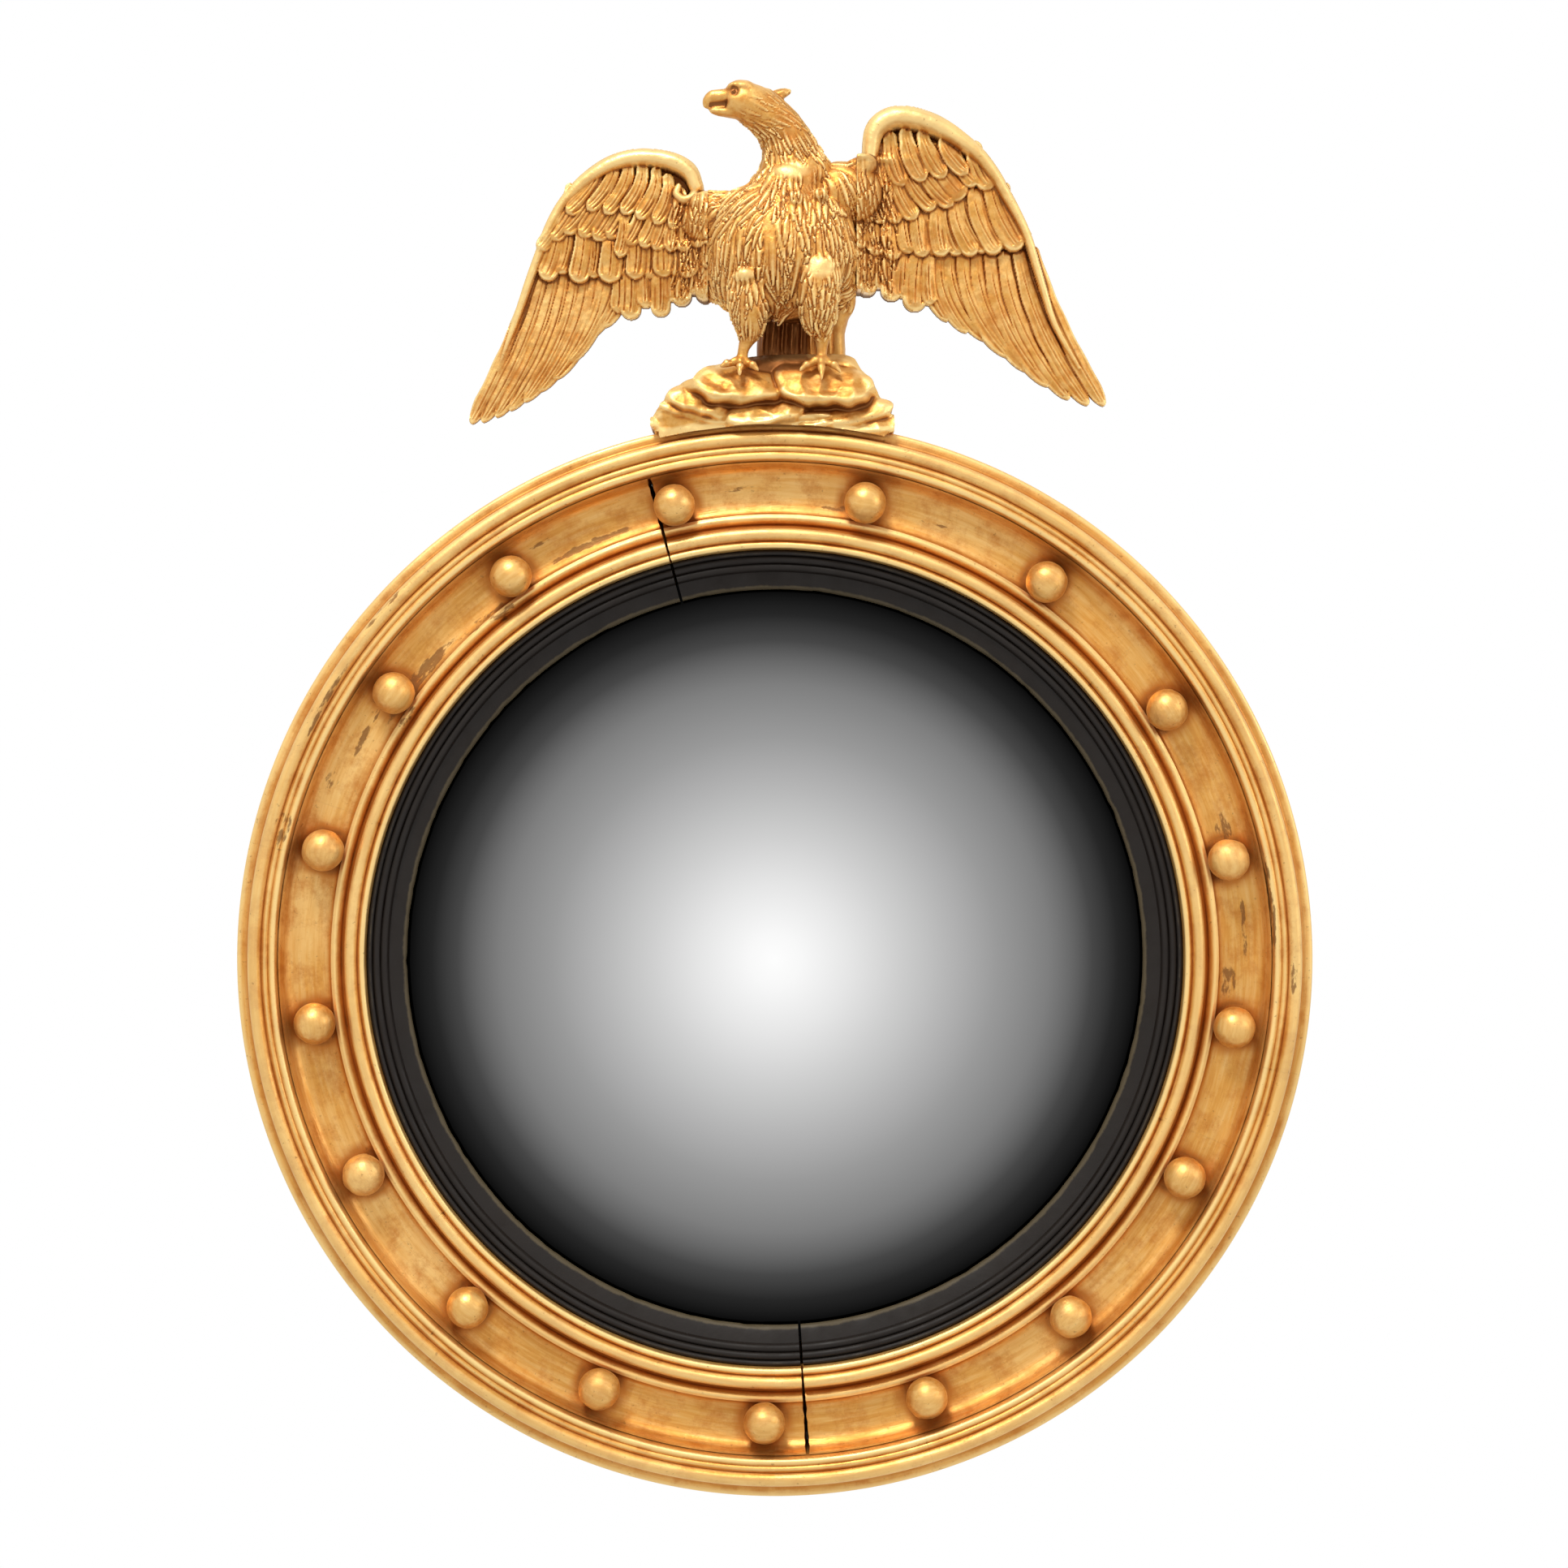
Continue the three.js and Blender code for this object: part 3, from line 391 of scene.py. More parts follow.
class Finish:
    """Lays out one material's nodes with short calls."""

    def __init__(self, name):
        self.material = bpy.data.materials.new(name)
        self.material.use_nodes = True
        self.nodes = self.material.node_tree.nodes
        self.links = self.material.node_tree.links
        self.shader = self.nodes["Principled BSDF"]

    def node(self, kind, **sockets):
        """A new node with some sockets set; an underscore in a name stands for a space."""
        made = self.nodes.new("ShaderNode" + kind)
        for name, value in sockets.items():
            self.set(made, name.replace("_", " "), value)
        return made

    def set(self, node, socket, value):
        """Links a socket to another's output, or sets it to a value."""
        target = node.inputs[socket]
        if isinstance(value, bpy.types.NodeSocket):
            self.links.new(value, target)
        else:
            target.default_value = value

    def place(self, stretch=(1, 1, 1)):
        """Object coordinates, stretched along an axis."""
        spot = self.node("TexCoord").outputs["Object"]
        return self.node("Mapping", Vector=spot, Scale=stretch).outputs["Vector"]

    def streaks(self, around, across, detail):
        """Noise drawn out along the ring."""
        split = self.node("SeparateXYZ", Vector=self.node("TexCoord").outputs["Object"])
        x, depth, z = (split.outputs[axis] for axis in "XYZ")
        turn = self.times(self.reckon("ARCTAN2", x, z), around)
        radius = self.reckon("SQRT", self.plus(self.times(x, x), self.times(z, z)))
        spot = self.node("CombineXYZ", X=turn, Y=self.times(radius, across), Z=self.times(depth, across))
        return self.node("TexNoise", Vector=spot.outputs[0], Scale=1.0, Detail=detail,
                         Roughness=0.6).outputs["Fac"]

    def noise(self, scale, detail=4.0, stretch=(1, 1, 1), roughness=0.55):
        """Cloudy noise, from about 0.3 to 0.7."""
        return self.node("TexNoise", Vector=self.place(stretch), Scale=scale, Detail=detail,
                         Roughness=roughness).outputs["Fac"]

    def ramp(self, value, *stops):
        """A colour that follows a value through stops, each a level and the colour there."""
        made = self.node("ValToRGB", Fac=value)
        bar = made.color_ramp.elements
        while len(bar) < len(stops):
            bar.new(0.5)
        for element, (at, shade) in zip(bar, stops):
            element.position = at
            element.color = (*shade, 1) if len(shade) == 3 else shade
        return made.outputs["Color"]

    def grey(self, value, *stops):
        """A level that follows a value through stops."""
        return self.ramp(value, *[(at, (level,) * 3) for at, level in stops])

    def number(self, name):
        """A number that the mesh keeps for each corner."""
        made = self.node("Attribute")
        made.attribute_name = name
        return made.outputs["Fac"]

    def reckon(self, kind, a, b=0.0):
        """One step of arithmetic."""
        made = self.node("Math")
        made.operation = kind
        self.set(made, 0, a)
        self.set(made, 1, b)
        return made.outputs["Value"]

    def plus(self, a, b):
        """Two levels added."""
        return self.reckon("ADD", a, b)

    def times(self, a, b):
        """Two levels multiplied."""
        return self.reckon("MULTIPLY", a, b)

    def mix(self, part, a, b):
        """One colour going over into another."""
        made = self.node("Mix")
        made.data_type = "RGBA"
        self.set(made, 0, part)
        self.set(made, 6, a)
        self.set(made, 7, b)
        return made.outputs[2]

    def bump(self, height, distance, strength):
        """Fine relief; the distance is in metres."""
        made = self.node("Bump", Height=height, Strength=strength, Distance=distance)
        self.set(self.shader, "Normal", made.outputs["Normal"])


def shade(red, green, blue):
    """A colour written from 0 to 255 as a screen shows it, in the renderer's linear values."""
    darkest = 10
    return tuple(c / 255 / 12.92 if c <= darkest else ((c / 255 + 0.055) / 1.055) ** 2.4
                 for c in (red, green, blue))


def rgba(colour):
    """A colour as a socket takes it, fully opaque."""
    return (*colour, 1.0)


def toned_by(colour, factor):
    """A colour made darker, or brighter by a factor over 1."""
    return tuple(c * factor for c in colour)


def gilding(name, colours, carved):
    """Worn water gilding over wood left bare at the back, with painted shade, orange in hollows and brown in
    crevices, and a painted highlight, pale on the edges.
    """
    look = Finish(name)
    # The leaf: cloudy, brushed along the ring and mottled.
    plain = toned_by(colours.gold, 0.95 if carved else 1.06)
    bright = tuple(c * 0.55 + d * 0.5 for c, d in zip(colours.gold, colours.pale_gold))
    leaf = look.ramp(look.noise(9, 5), (0.3, toned_by(plain, 0.86)), (0.5, plain), (0.72, bright))
    brushed = look.noise(150, 6, roughness=0.65) if carved else look.streaks(9, 380, 6)
    leaf = look.mix(look.grey(brushed, (0.42, 0.0), (0.75, 0.45)), leaf, rgba(colours.pale_gold))
    leaf = look.mix(look.grey(brushed, (0.25, 0.35), (0.45, 0.0)), leaf, rgba(colours.hollow_gold))
    mottled = look.noise(60, 7, roughness=0.72)
    leaf = look.mix(look.grey(mottled, (0.47, 0.0), (0.66, 0.7)), leaf, rgba(colours.hollow_gold))
    # Painted shade: orange in the hollows, brown in the deepest of them, partly dirt, and darkest where deep
    # shade is painted; painted highlight: pale on the edges.
    hollow, raised = look.number("hollow"), look.number("raised")
    toned = look.mix(look.grey(hollow, (0.03, 0), (0.5, 0.9)), leaf, rgba(colours.hollow_gold))
    toned = look.mix(look.grey(raised, (0.1, 0), (0.75, 0.8)), toned, rgba(colours.pale_gold))
    painted_shade = look.times(hollow, look.plus(look.noise(70, 5), 0.5))
    toned = look.mix(look.grey(painted_shade, (0.5, 0), (1.0, 0.85)), toned, rgba(colours.crevice))
    toned = look.mix(look.grey(hollow, (1.0, 0), (1.6, 0.9)), toned, rgba(colours.deep_shade))
    # Rubbed places down to the bole, and dark specks.
    grit = look.noise(120, 8, roughness=0.75) if carved else look.streaks(34, 330, 9)
    grit = look.plus(look.times(grit, 1.7), -0.1)
    rubbed_and_sheen = look.times(look.number("wear"), grit)
    toned = look.mix(look.grey(rubbed_and_sheen, (0.54, 0), (0.66, 0.8)), toned, rgba(colours.bole))
    specks = look.noise(420, 3, roughness=0.5)
    toned = look.mix(look.grey(specks, (0.66, 0), (0.74, 0.4)), toned, rgba(colours.crevice))
    # Bare wood at the back.
    wood = look.ramp(look.noise(24, 7, roughness=0.7), (0.3, toned_by(colours.pine, 0.55)),
                     (0.7, tuple(colours.pine)))
    bare = look.grey(look.number("bare"), (0.3, 0), (0.7, 1))
    look.set(look.shader, "Base Color", look.mix(bare, toned, wood))
    look.set(look.shader, "Metallic", look.times(look.reckon("SUBTRACT", 1.0, bare), 0.72))
    satin = look.grey(look.noise(45, 5), (0.3, 0.36), (0.7, 0.56))
    look.set(look.shader, "Roughness", look.plus(satin, look.times(bare, 0.3)))
    texture = look.plus(look.noise(90, 6, roughness=0.6), look.times(look.noise(380, 3), 0.35))
    if not carved:
        texture = look.plus(look.times(texture, 0.8), look.streaks(7, 240, 3))
    look.bump(texture, 0.0008 if carved else 0.0005, 0.6)
    return look.material


def ebonising(colours):
    """Black stained reeds, lighter along their crowns, and worn to olive wood at the sight edge."""
    look = Finish("ebonised_wood")
    base = look.ramp(look.noise(30, 5), (0.3, toned_by(colours.ebony, 0.7)), (0.7, tuple(colours.ebony)))
    worn = look.plus(look.number("raised"), look.times(look.number("wear"), 1.1))
    worn = look.times(worn, look.plus(look.noise(85, 7, roughness=0.7), 0.35))
    base = look.mix(look.grey(worn, (0.5, 0), (0.72, 0.75)), base, rgba(colours.worn_ebony))
    look.set(look.shader, "Base Color", base)
    look.set(look.shader, "Roughness", look.grey(look.noise(70, 5), (0.3, 0.45), (0.7, 0.68)))
    look.set(look.shader, "Specular IOR Level", 0.28)
    look.bump(look.noise(160, 5, roughness=0.6), 0.0004, 0.5)
    return look.material


# The painted reflection: how bright the plate is drawn, as parts of the way from the plate's middle to the
# slip and levels.
PAINTED_REFLECTION_FADE = (
    (0.0, 0.99), (0.07, 0.94), (0.2, 0.79), (0.33, 0.62), (0.46, 0.47), (0.6, 0.32), (0.74, 0.21),
    (0.8, 0.14), (0.86, 0.062), (0.93, 0.02), (1.0, 0.002),
)


def silvering():
    """Silvered convex glass with a painted reflection, bright in its middle and darker towards its rim, with
    faint clouds.
    """
    look = Finish("silvering_with_painted_reflection")
    split = look.node("SeparateXYZ", Vector=look.node("TexCoord").outputs["Object"])
    across = look.reckon("POWER", split.outputs["X"], 2.0)
    upright = look.reckon("POWER", split.outputs["Z"], 2.0)
    radius = look.reckon("SQRT", look.plus(across, upright))
    part = look.reckon("DIVIDE", radius, SLIP_INNER * MM)
    look.set(look.shader, "Base Color", look.grey(part, *PAINTED_REFLECTION_FADE))
    look.set(look.shader, "Metallic", 1.0)
    look.set(look.shader, "Roughness", look.grey(look.noise(14, 4), (0.4, 0.03), (0.7, 0.06)))
    return look.material


def bare_pine(name, along, colours):
    """Aged softwood with its grain along one axis."""
    look = Finish(name)
    stretch = tuple(1.0 if axis == along else 14.0 for axis in "XYZ")
    grain = look.noise(7, 6, stretch, 0.6)
    fibres = look.noise(60, 4, stretch, 0.6)
    wood = look.ramp(grain, (0.3, toned_by(colours.pine, 0.55)), (0.5, tuple(colours.pine)),
                     (0.72, toned_by(colours.pine, 1.25)))
    wood = look.mix(look.grey(fibres, (0.35, 0), (0.7, 0.5)), wood, rgba(toned_by(colours.pine, 0.6)))
    look.set(look.shader, "Base Color", wood)
    look.set(look.shader, "Roughness", look.grey(fibres, (0.3, 0.7), (0.7, 0.9)))
    look.bump(fibres, 0.0005, 0.6)
    return look.material


def wrought_iron(colours):
    """Dull iron with patches of rust."""
    look = Finish("rusted_iron")
    rust = look.grey(look.noise(80, 6, roughness=0.7), (0.5, 0), (0.65, 0.7))
    look.set(look.shader, "Base Color", look.mix(rust, rgba(colours.iron), rgba(colours.rust)))
    look.set(look.shader, "Metallic", 0.75)
    look.set(look.shader, "Roughness", look.grey(look.noise(120, 5), (0.3, 0.5), (0.7, 0.8)))
    look.bump(look.noise(150, 6, roughness=0.6), 0.0004, 0.6)
    return look.material


def old_brass(colours):
    """Brass gone brown in patches."""
    look = Finish("tarnished_brass")
    tarnish = look.grey(look.noise(160, 6, roughness=0.65), (0.42, 0), (0.7, 0.75))
    look.set(look.shader, "Base Color", look.mix(tarnish, rgba(colours.brass), rgba(colours.tarnish)))
    look.set(look.shader, "Metallic", 1.0)
    look.set(look.shader, "Roughness", look.grey(look.noise(90, 4), (0.3, 0.28), (0.7, 0.5)))
    look.bump(look.noise(300, 4), 0.0002, 0.4)
    return look.material


def once(name, make, *args):
    """A material that several operators share."""
    return bpy.data.materials.get(name) or make(*args)


def gold(slot_name):
    """The gilding for a slot: one for the ring, one for the carving."""
    name = "worn_" + slot_name
    return once(name, gilding, name, bpy.context.scene.mirror_colours, slot_name == "carved_gilding")


# ---- Settings ----

class MirrorSizes(PropertyGroup):
    """Sizes that can be changed within the frame."""
    ball_radius: FloatProperty(
        name="Ball radius", description="Radius of each turned ball", default=BALL_RADIUS * MM,
        unit="LENGTH", min=0.001, precision=4)
    crack_width: FloatProperty(
        name="Crack width", description="How far the two open joints of the ring gape",
        default=CRACK_WIDTH * MM, unit="LENGTH", min=0.0, max=0.004, precision=4)
    carving_voxel: FloatProperty(
        name="Carving grain", description="Size of the finest form that the carved skin keeps",
        default=0.75 * MM, unit="LENGTH", min=0.0003, precision=4)
    tuft_count: IntProperty(
        name="Tufts", description="Gouged tufts of plumage on the eagle's body", default=1750, min=0)
    view_distance: FloatProperty(
        name="View distance", description="From the camera to the front of the frame", default=1.9,
        unit="LENGTH", min=0.2)


def colour(name, description, default):
    """One colour that can be changed."""
    return FloatVectorProperty(name=name, description=description, default=default, subtype="COLOR",
                               size=3, min=0.0, max=1.0)


class MirrorColours(PropertyGroup):
    """Colours of the finishes and of the floor."""
    gold: colour("Gold", "Leaf in plain light", shade(216, 157, 74))
    # Pale gold is also drawn as a painted highlight on edges, crowns, rolls and smooth places.
    pale_gold: colour("Pale gold", "Leaf where it is rubbed and bright", shade(251, 218, 148))
    # Hollow gold is also drawn as painted shade in the hollows.
    hollow_gold: colour("Hollow gold", "Leaf down in hollows", shade(190, 116, 42))
    # Crevice brown is painted shade in the deepest cuts, partly dirt, and the colour of dark specks.
    crevice: colour("Crevice", "Old dirt and bole in the deepest cuts", shade(118, 70, 30))
    # Deep shade is painted shade in the mouth, round the eyes, behind the legs and under the tail.
    deep_shade: colour("Deep shade", "Soot in the mouth, the eyes and behind the legs", shade(66, 36, 16))
    bole: colour("Bole", "What shows where the leaf is gone", shade(128, 82, 40))
    ebony: colour("Ebony", "Black stain of the slip", shade(29, 22, 17))
    worn_ebony: colour("Worn ebony", "Slip where the stain is worn", shade(96, 84, 62))
    pine: colour("Pine", "Bare wood at the back", shade(154, 116, 72))
    iron: colour("Iron", "Crest bracket and its screws", shade(62, 58, 55))
    rust: colour("Rust", "Rust on the iron", shade(96, 58, 36))
    brass: colour("Brass", "Hangers", shade(190, 152, 84))
    tarnish: colour("Tarnish", "Dull brass", shade(112, 88, 50))
    floor: colour("Floor", "Plain pale floor", shade(238, 238, 236))


# ---- Frame ring ----

def parts_of(inner, width):
    """Radii across a moulding, asked for as parts of its width from its inner edge."""
    return lambda part: inner + part * width


# The three sections run round their mouldings, as radii and heights off the wall.

def rim_section():
    """The outer moulding: a flared outside with a bead at its edge, one broad reed and two narrow."""
    width = RIM_RADIUS - SEAT_RADIUS
    at = parts_of(SEAT_RADIUS, width)
    return [
        (SEAT_RADIUS, 0), (at(0.67), 0),
        *eased([(at(0.69), 0), (at(0.71), 9), (at(0.78), 24), (at(0.89), 38)], 3),
        *arc(at(0.904), 41.8, 0.096 * width, -40, 80, 9),
        *eased([(at(0.84), 44.2), (at(0.76), 43.9), (at(0.715), 45.2)], 1),
        *arc(at(0.538), 50.4, 0.16 * width, -20, 178, 16),
        *arc(at(0.28), 50.8, 1.75, 30, 172, 9),
        *arc(at(0.125), 50.2, 2.3, 30, 178, 9),
        (SEAT_RADIUS, 45.6),
    ]


def felloe_section():
    """The ring's body: the deep hollow for the balls, then two reeds down to the sight edge."""
    ledge = REBATE_RADIUS - SIGHT_RADIUS
    at = parts_of(REBATE_RADIUS, SEAT_RADIUS - REBATE_RADIUS)
    return [
        (REBATE_RADIUS, 0), (SEAT_RADIUS - GLUE_GAP, 0), (SEAT_RADIUS - GLUE_GAP, 46.6),
        *eased([
            (at(0.975), 45.4), (at(0.945), 41.4), (at(0.88), 38.1), (at(0.77), 36.1), (at(0.62), 35.7),
            (at(0.47), 36), (at(0.36), 37.6), (at(0.325), 39.4),
        ], 1.6),
        (at(0.318), 42), *arc(at(0.268), 42, 1.3, 60, 120, 4), (at(0.216), 42.2), (at(0.19), 39.6),
        *arc(at(0.0545), 44.2, 3.5, -30, 200, 18),
        *arc(REBATE_RADIUS - 0.62 * ledge, 43.9, 2.0, 20, 175, 8),
        (SIGHT_RADIUS, 42.8), (SIGHT_RADIUS, 33.7), (REBATE_RADIUS, 33.7),
    ]


def slip_section():
    """The ebonised slip: it laps over the plate, and its three reeds slope down to the sight of it."""
    outer, shoulder = REBATE_RADIUS - SLIP_PLAY, SIGHT_RADIUS - GLUE_GAP
    at = parts_of(SLIP_INNER, shoulder - SLIP_INNER)
    return [
        (SLIP_INNER, 28), (PLATE_RADIUS + 0.8, 24.9), (outer, 24.9), (outer, 33.4), (shoulder, 33.4),
        (shoulder, 40.4),
        *arc(at(0.935), 39.7, 1.5, 10, 190, 9),
        *arc(at(0.765), 38.0, 2.2, 10, 185, 11),
        *arc(at(0.57), 36.1, 2.4, 10, 185, 11),
        *eased([(at(0.44), 34.6), (at(0.3), 33.6), (at(0.14), 32.3), (at(0.03), 31), (at(0), 29.6)], 1.5),
    ]


def opened_by(width):
    """Half of a joint's width as an angle at the sight edge, in degrees."""
    return math.degrees(width / 2 / SIGHT_RADIUS)


def crack_width():
    """How far the open joints gape, in millimetres, without the setting's rounding error."""
    return round(bpy.context.scene.mirror_sizes.crack_width / MM, 3)


def felloe_spans():
    """Where each felloe starts and ends: cracks at the two open joints, hairlines at the others."""
    first, second = CRACKED_JOINTS
    spans = []
    for start, end in ((first, second), (second, first + 360)):
        step = (end - start) / FELLOES_PER_SIDE
        for i in range(FELLOES_PER_SIDE):
            near = opened_by(crack_width() if i == 0 else HAIRLINE)
            far = opened_by(crack_width() if i == FELLOES_PER_SIDE - 1 else HAIRLINE)
            spans.append((start + i * step + near, start + (i + 1) * step - far))
    return spans


def pocket_for(nodes, sideways, upright):
    """The box to cut for some fittings: their own, some room round it and none of the wood behind it."""
    deeper, past_back = 0.3, 8
    lowest = np.min([low(node) for node in nodes], 0) - (sideways, deeper, upright)
    highest = np.max([high(node) for node in nodes], 0) + (sideways, past_back, upright)
    return lowest, highest


def hanger_pockets():
    """Room for each strap and for its ring as it lies down."""
    return [pocket_for(("hanger_strap_" + side, "d_ring_" + side), 1.6, 1) for side in ("left", "right")]


def bracket_pocket():
    """Room for the crest's bracket, let in flush."""
    return pocket_for(("crest_bracket",), 0.5, 0.5)


# Worn places on the ring: azimuth and radius of the middle, half lengths along and across, strength.
RING_WEAR = [
    (308, 262, 34, 4, 0.95), (299, 270, 18, 2.5, 0.9), (318, 258, 15, 3, 0.8), (336, 262, 26, 2.4, 1.0),
    (330, 275, 14, 2, 0.8), (322, 254, 8, 6, 0.8), (303, 254, 10, 4, 0.8), (292, 276, 9, 5, 0.7),
    (58, 262, 12, 6, 0.8), (8, 262, 20, 3, 0.75), (-4, 271, 14, 3, 0.7), (20, 268, 12, 3, 0.7),
    (74, 270, 10, 5, 0.85), (86, 272, 22, 2, 0.85), (93, 262, 12, 6, 0.8), (84, 287, 30, 1.6, 0.9),
    (92, 298, 14, 2, 0.8), (300, 297, 30, 1.6, 0.85), (312, 301, 22, 1.6, 0.8), (285, 292, 12, 5, 0.8),
    (120, 262, 9, 5, 0.6), (200, 262, 12, 4, 0.55), (232, 270, 9, 4, 0.6), (262, 250, 9, 4, 0.6),
    (150, 300, 12, 2, 0.5), (340, 300, 16, 1.6, 0.6),
]


def mark_ring_wear(piece, base):
    """Stores how worn each corner is, over an even base, and where the wood is left bare."""
    corners = corners_of(piece)
    radius = np.hypot(corners[:, 0], corners[:, 2])
    azimuth = np.degrees(np.arctan2(corners[:, 0], corners[:, 2]))
    wear = np.full(len(corners), base)
    for middle, r, along, across, strength in RING_WEAR:
        turn = (azimuth - middle + 180) % 360 - 180
        reach = np.hypot(np.radians(turn) * r / along, (radius - r) / across)
        wear = np.maximum(wear, strength * np.clip(1.7 - reach, 0, 1))
    keep_number(piece, "wear", wear)
    keep_number(piece, "bare", eased_step(corners[:, 1], *RING_BARE))


def close_behind(corners, count, reaches):
    """Makes the face of cracked ends ragged, and lets the ends meet behind it, so no light comes through."""
    face, roughness, furthest = -34, 0.45, 0.6
    for ring, turn in ((slice(0, count), -reaches[0]), (slice(-count, None), reaches[1])):
        end = corners[ring]
        x, z = end[:, 0].copy(), end[:, 2].copy()
        ragged = roughness * soft_noise(np.stack([np.hypot(x, z), end[:, 1], 0 * x], 1), 7, 11)
        turns = turn * np.where(end[:, 1] > face, 1.0, np.minimum(ragged, furthest))
        end[:, 0] = x * np.cos(turns) + z * np.sin(turns)
        end[:, 2] = z * np.cos(turns) - x * np.sin(turns)


def ring_piece(node, section, span, cuts=(), closed=(0, 0)):
    """One gilded length of the ring, its front a little uneven, with pockets cut and cracked ends closed."""
    section = clogged(section)
    corners, faces = turned_arc(section, *span)
    close_behind(corners, len(section), np.radians(closed))
    corners[:, 1] += 0.12 * soft_noise(corners, 60, 3) * (corners[:, 1] < -30)
    piece = add_piece("fine_" + node, corners, faces, [node])
    face_outwards(piece)
    cut_out(piece, cuts)
    mark_section(piece, section, QUIRK_REACH)
    mark_ring_wear(piece, 0.3)
    smooth(piece, 42)
    finish(piece, gold("gilding"))


BALLS = sorted(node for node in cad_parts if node.startswith("ball_"))


def middle_of(node):
    """Middle x and z of a CAD node, in millimetres."""
    return ((low(node) + high(node)) / 2)[[0, 2]]


def sunk_below(section, reach):
    """How far each point of a section lies below the mean of its surroundings, and its outward direction."""
    section = np.array(section, float)
    ahead = np.roll(section, -1, 0) - np.roll(section, 1, 0)
    length = np.linalg.norm(ahead, axis=1)
    outward = np.stack([ahead[:, 1], -ahead[:, 0]], 1) / np.maximum(length, 1e-6)[:, None]
    apart = np.linalg.norm(section[:, None] - section[None], axis=2)
    weight = np.exp(-((apart / reach) ** 2)) * length
    mean = weight @ section / weight.sum(1)[:, None]
    return ((mean - section) * outward).sum(1), outward


QUIRK_REACH = 2.4


def clogged(section):
    """A moulded section with its quirks over half filled, as old gesso and gilding leave them."""
    section = np.array(section, float)
    sunk, outward = sunk_below(section, QUIRK_REACH)
    filled = 0.55 * np.clip(sunk, 0, 1.5) * (section[:, 1] > 40)
    return section + outward * filled[:, None]


def mark_section(piece, section, reach):
    """Marks the quirks between reeds as hollow and their crowns as raised, from the turned section; on the
    gilding these draw painted shade and a painted highlight.
    """
    sunk, _ = sunk_below(section, reach)
    section = np.array(section, float)
    corners = corners_of(piece)
    spots = np.stack([np.hypot(corners[:, 0], corners[:, 2]), -corners[:, 1]], 1)
    nearest = np.concatenate([
        np.linalg.norm(part[:, None] - section[None], axis=2).argmin(1) for part in np.array_split(spots, 16)
    ])
    front = np.clip((spots[:, 1] - 25) / 6, 0, 1)
    # A painted shadow round the foot of each ball.
    painted_shade = np.zeros(len(corners))
    for x, z in map(middle_of, BALLS):
        away = np.hypot(corners[:, 0] - x, corners[:, 2] - z) - BALL_RADIUS
        painted_shade = np.maximum(painted_shade, 0.75 * np.exp(-((away / 3.5) ** 2)))
    keep_number(piece, "hollow", np.clip(sunk[nearest] / 1.3 + painted_shade, 0, 0.85) * front)
    keep_number(piece, "raised", np.clip(-sunk[nearest] / 0.7 - 0.15, 0, 1) * front)


class MIRROR_OT_rim(Operator):
    """Bends the six lengths of reeded moulding round the ring"""
    bl_idname = "mirror.rim"
    bl_label = "Rim moulding"

    def execute(self, context):
        joint = opened_by(HAIRLINE)
        for i in range(RIM_LENGTHS):
            start = RIM_FIRST_JOINT + i * 360 / RIM_LENGTHS
            span = (start + joint, start + 360 / RIM_LENGTHS - joint)
            cuts = [bracket_pocket()] if i == RIM_LENGTHS - 1 else []
            ring_piece(f"rim_moulding_{i + 1:02d}", rim_section(), span, cuts)
        return {"FINISHED"}


class MIRROR_OT_felloes(Operator):
    """Turns the hollow ring body, in six felloes with two open joints"""
    bl_idname = "mirror.felloes"
    bl_label = "Felloes"

    def execute(self, context):
        reach = opened_by(crack_width() - HAIRLINE / 2)
        for i, span in enumerate(felloe_spans()):
            cuts = [*hanger_pockets(), bracket_pocket()] if i in TOP_FELLOES else []
            along_side = i % FELLOES_PER_SIDE
            closed = (reach * (along_side == 0), reach * (along_side == FELLOES_PER_SIDE - 1))
            ring_piece(f"felloe_{i + 1:02d}", felloe_section(), span, cuts, closed)
        return {"FINISHED"}


class MIRROR_OT_slip(Operator):
    """Fits the ebonised reeded slip in two halves"""
    bl_idname = "mirror.slip"
    bl_label = "Slip"

    def execute(self, context):
        look = once("ebonised_wood", ebonising, context.scene.mirror_colours)
        first, second = CRACKED_JOINTS
        gap = opened_by(crack_width())
        spans = {"slip_right": (first + gap, second - gap), "slip_left": (second + gap, first + 360 - gap)}
        for node, span in spans.items():
            corners, faces = turned_arc(slip_section(), *span, step=0.7)
            radius = np.hypot(corners[:, 0], corners[:, 2])
            edge = np.clip((SLIP_INNER + 3 - radius) / 3, 0, 1)
            chipped = np.clip(0.45 * soft_noise(corners, 14, 8) * edge, 0, 1)
            corners[:, 0] += corners[:, 0] / radius * chipped
            corners[:, 2] += corners[:, 2] / radius * chipped
            piece = add_piece("fine_" + node, corners, faces, [node])
            face_outwards(piece)
            mark_section(piece, slip_section(), 1.6)
            keep_number(piece, "wear", np.clip((SLIP_INNER + 5 - radius) / 3.5, 0, 1) * 0.75)
            smooth(piece, 42)
            finish(piece, look)
        return {"FINISHED"}


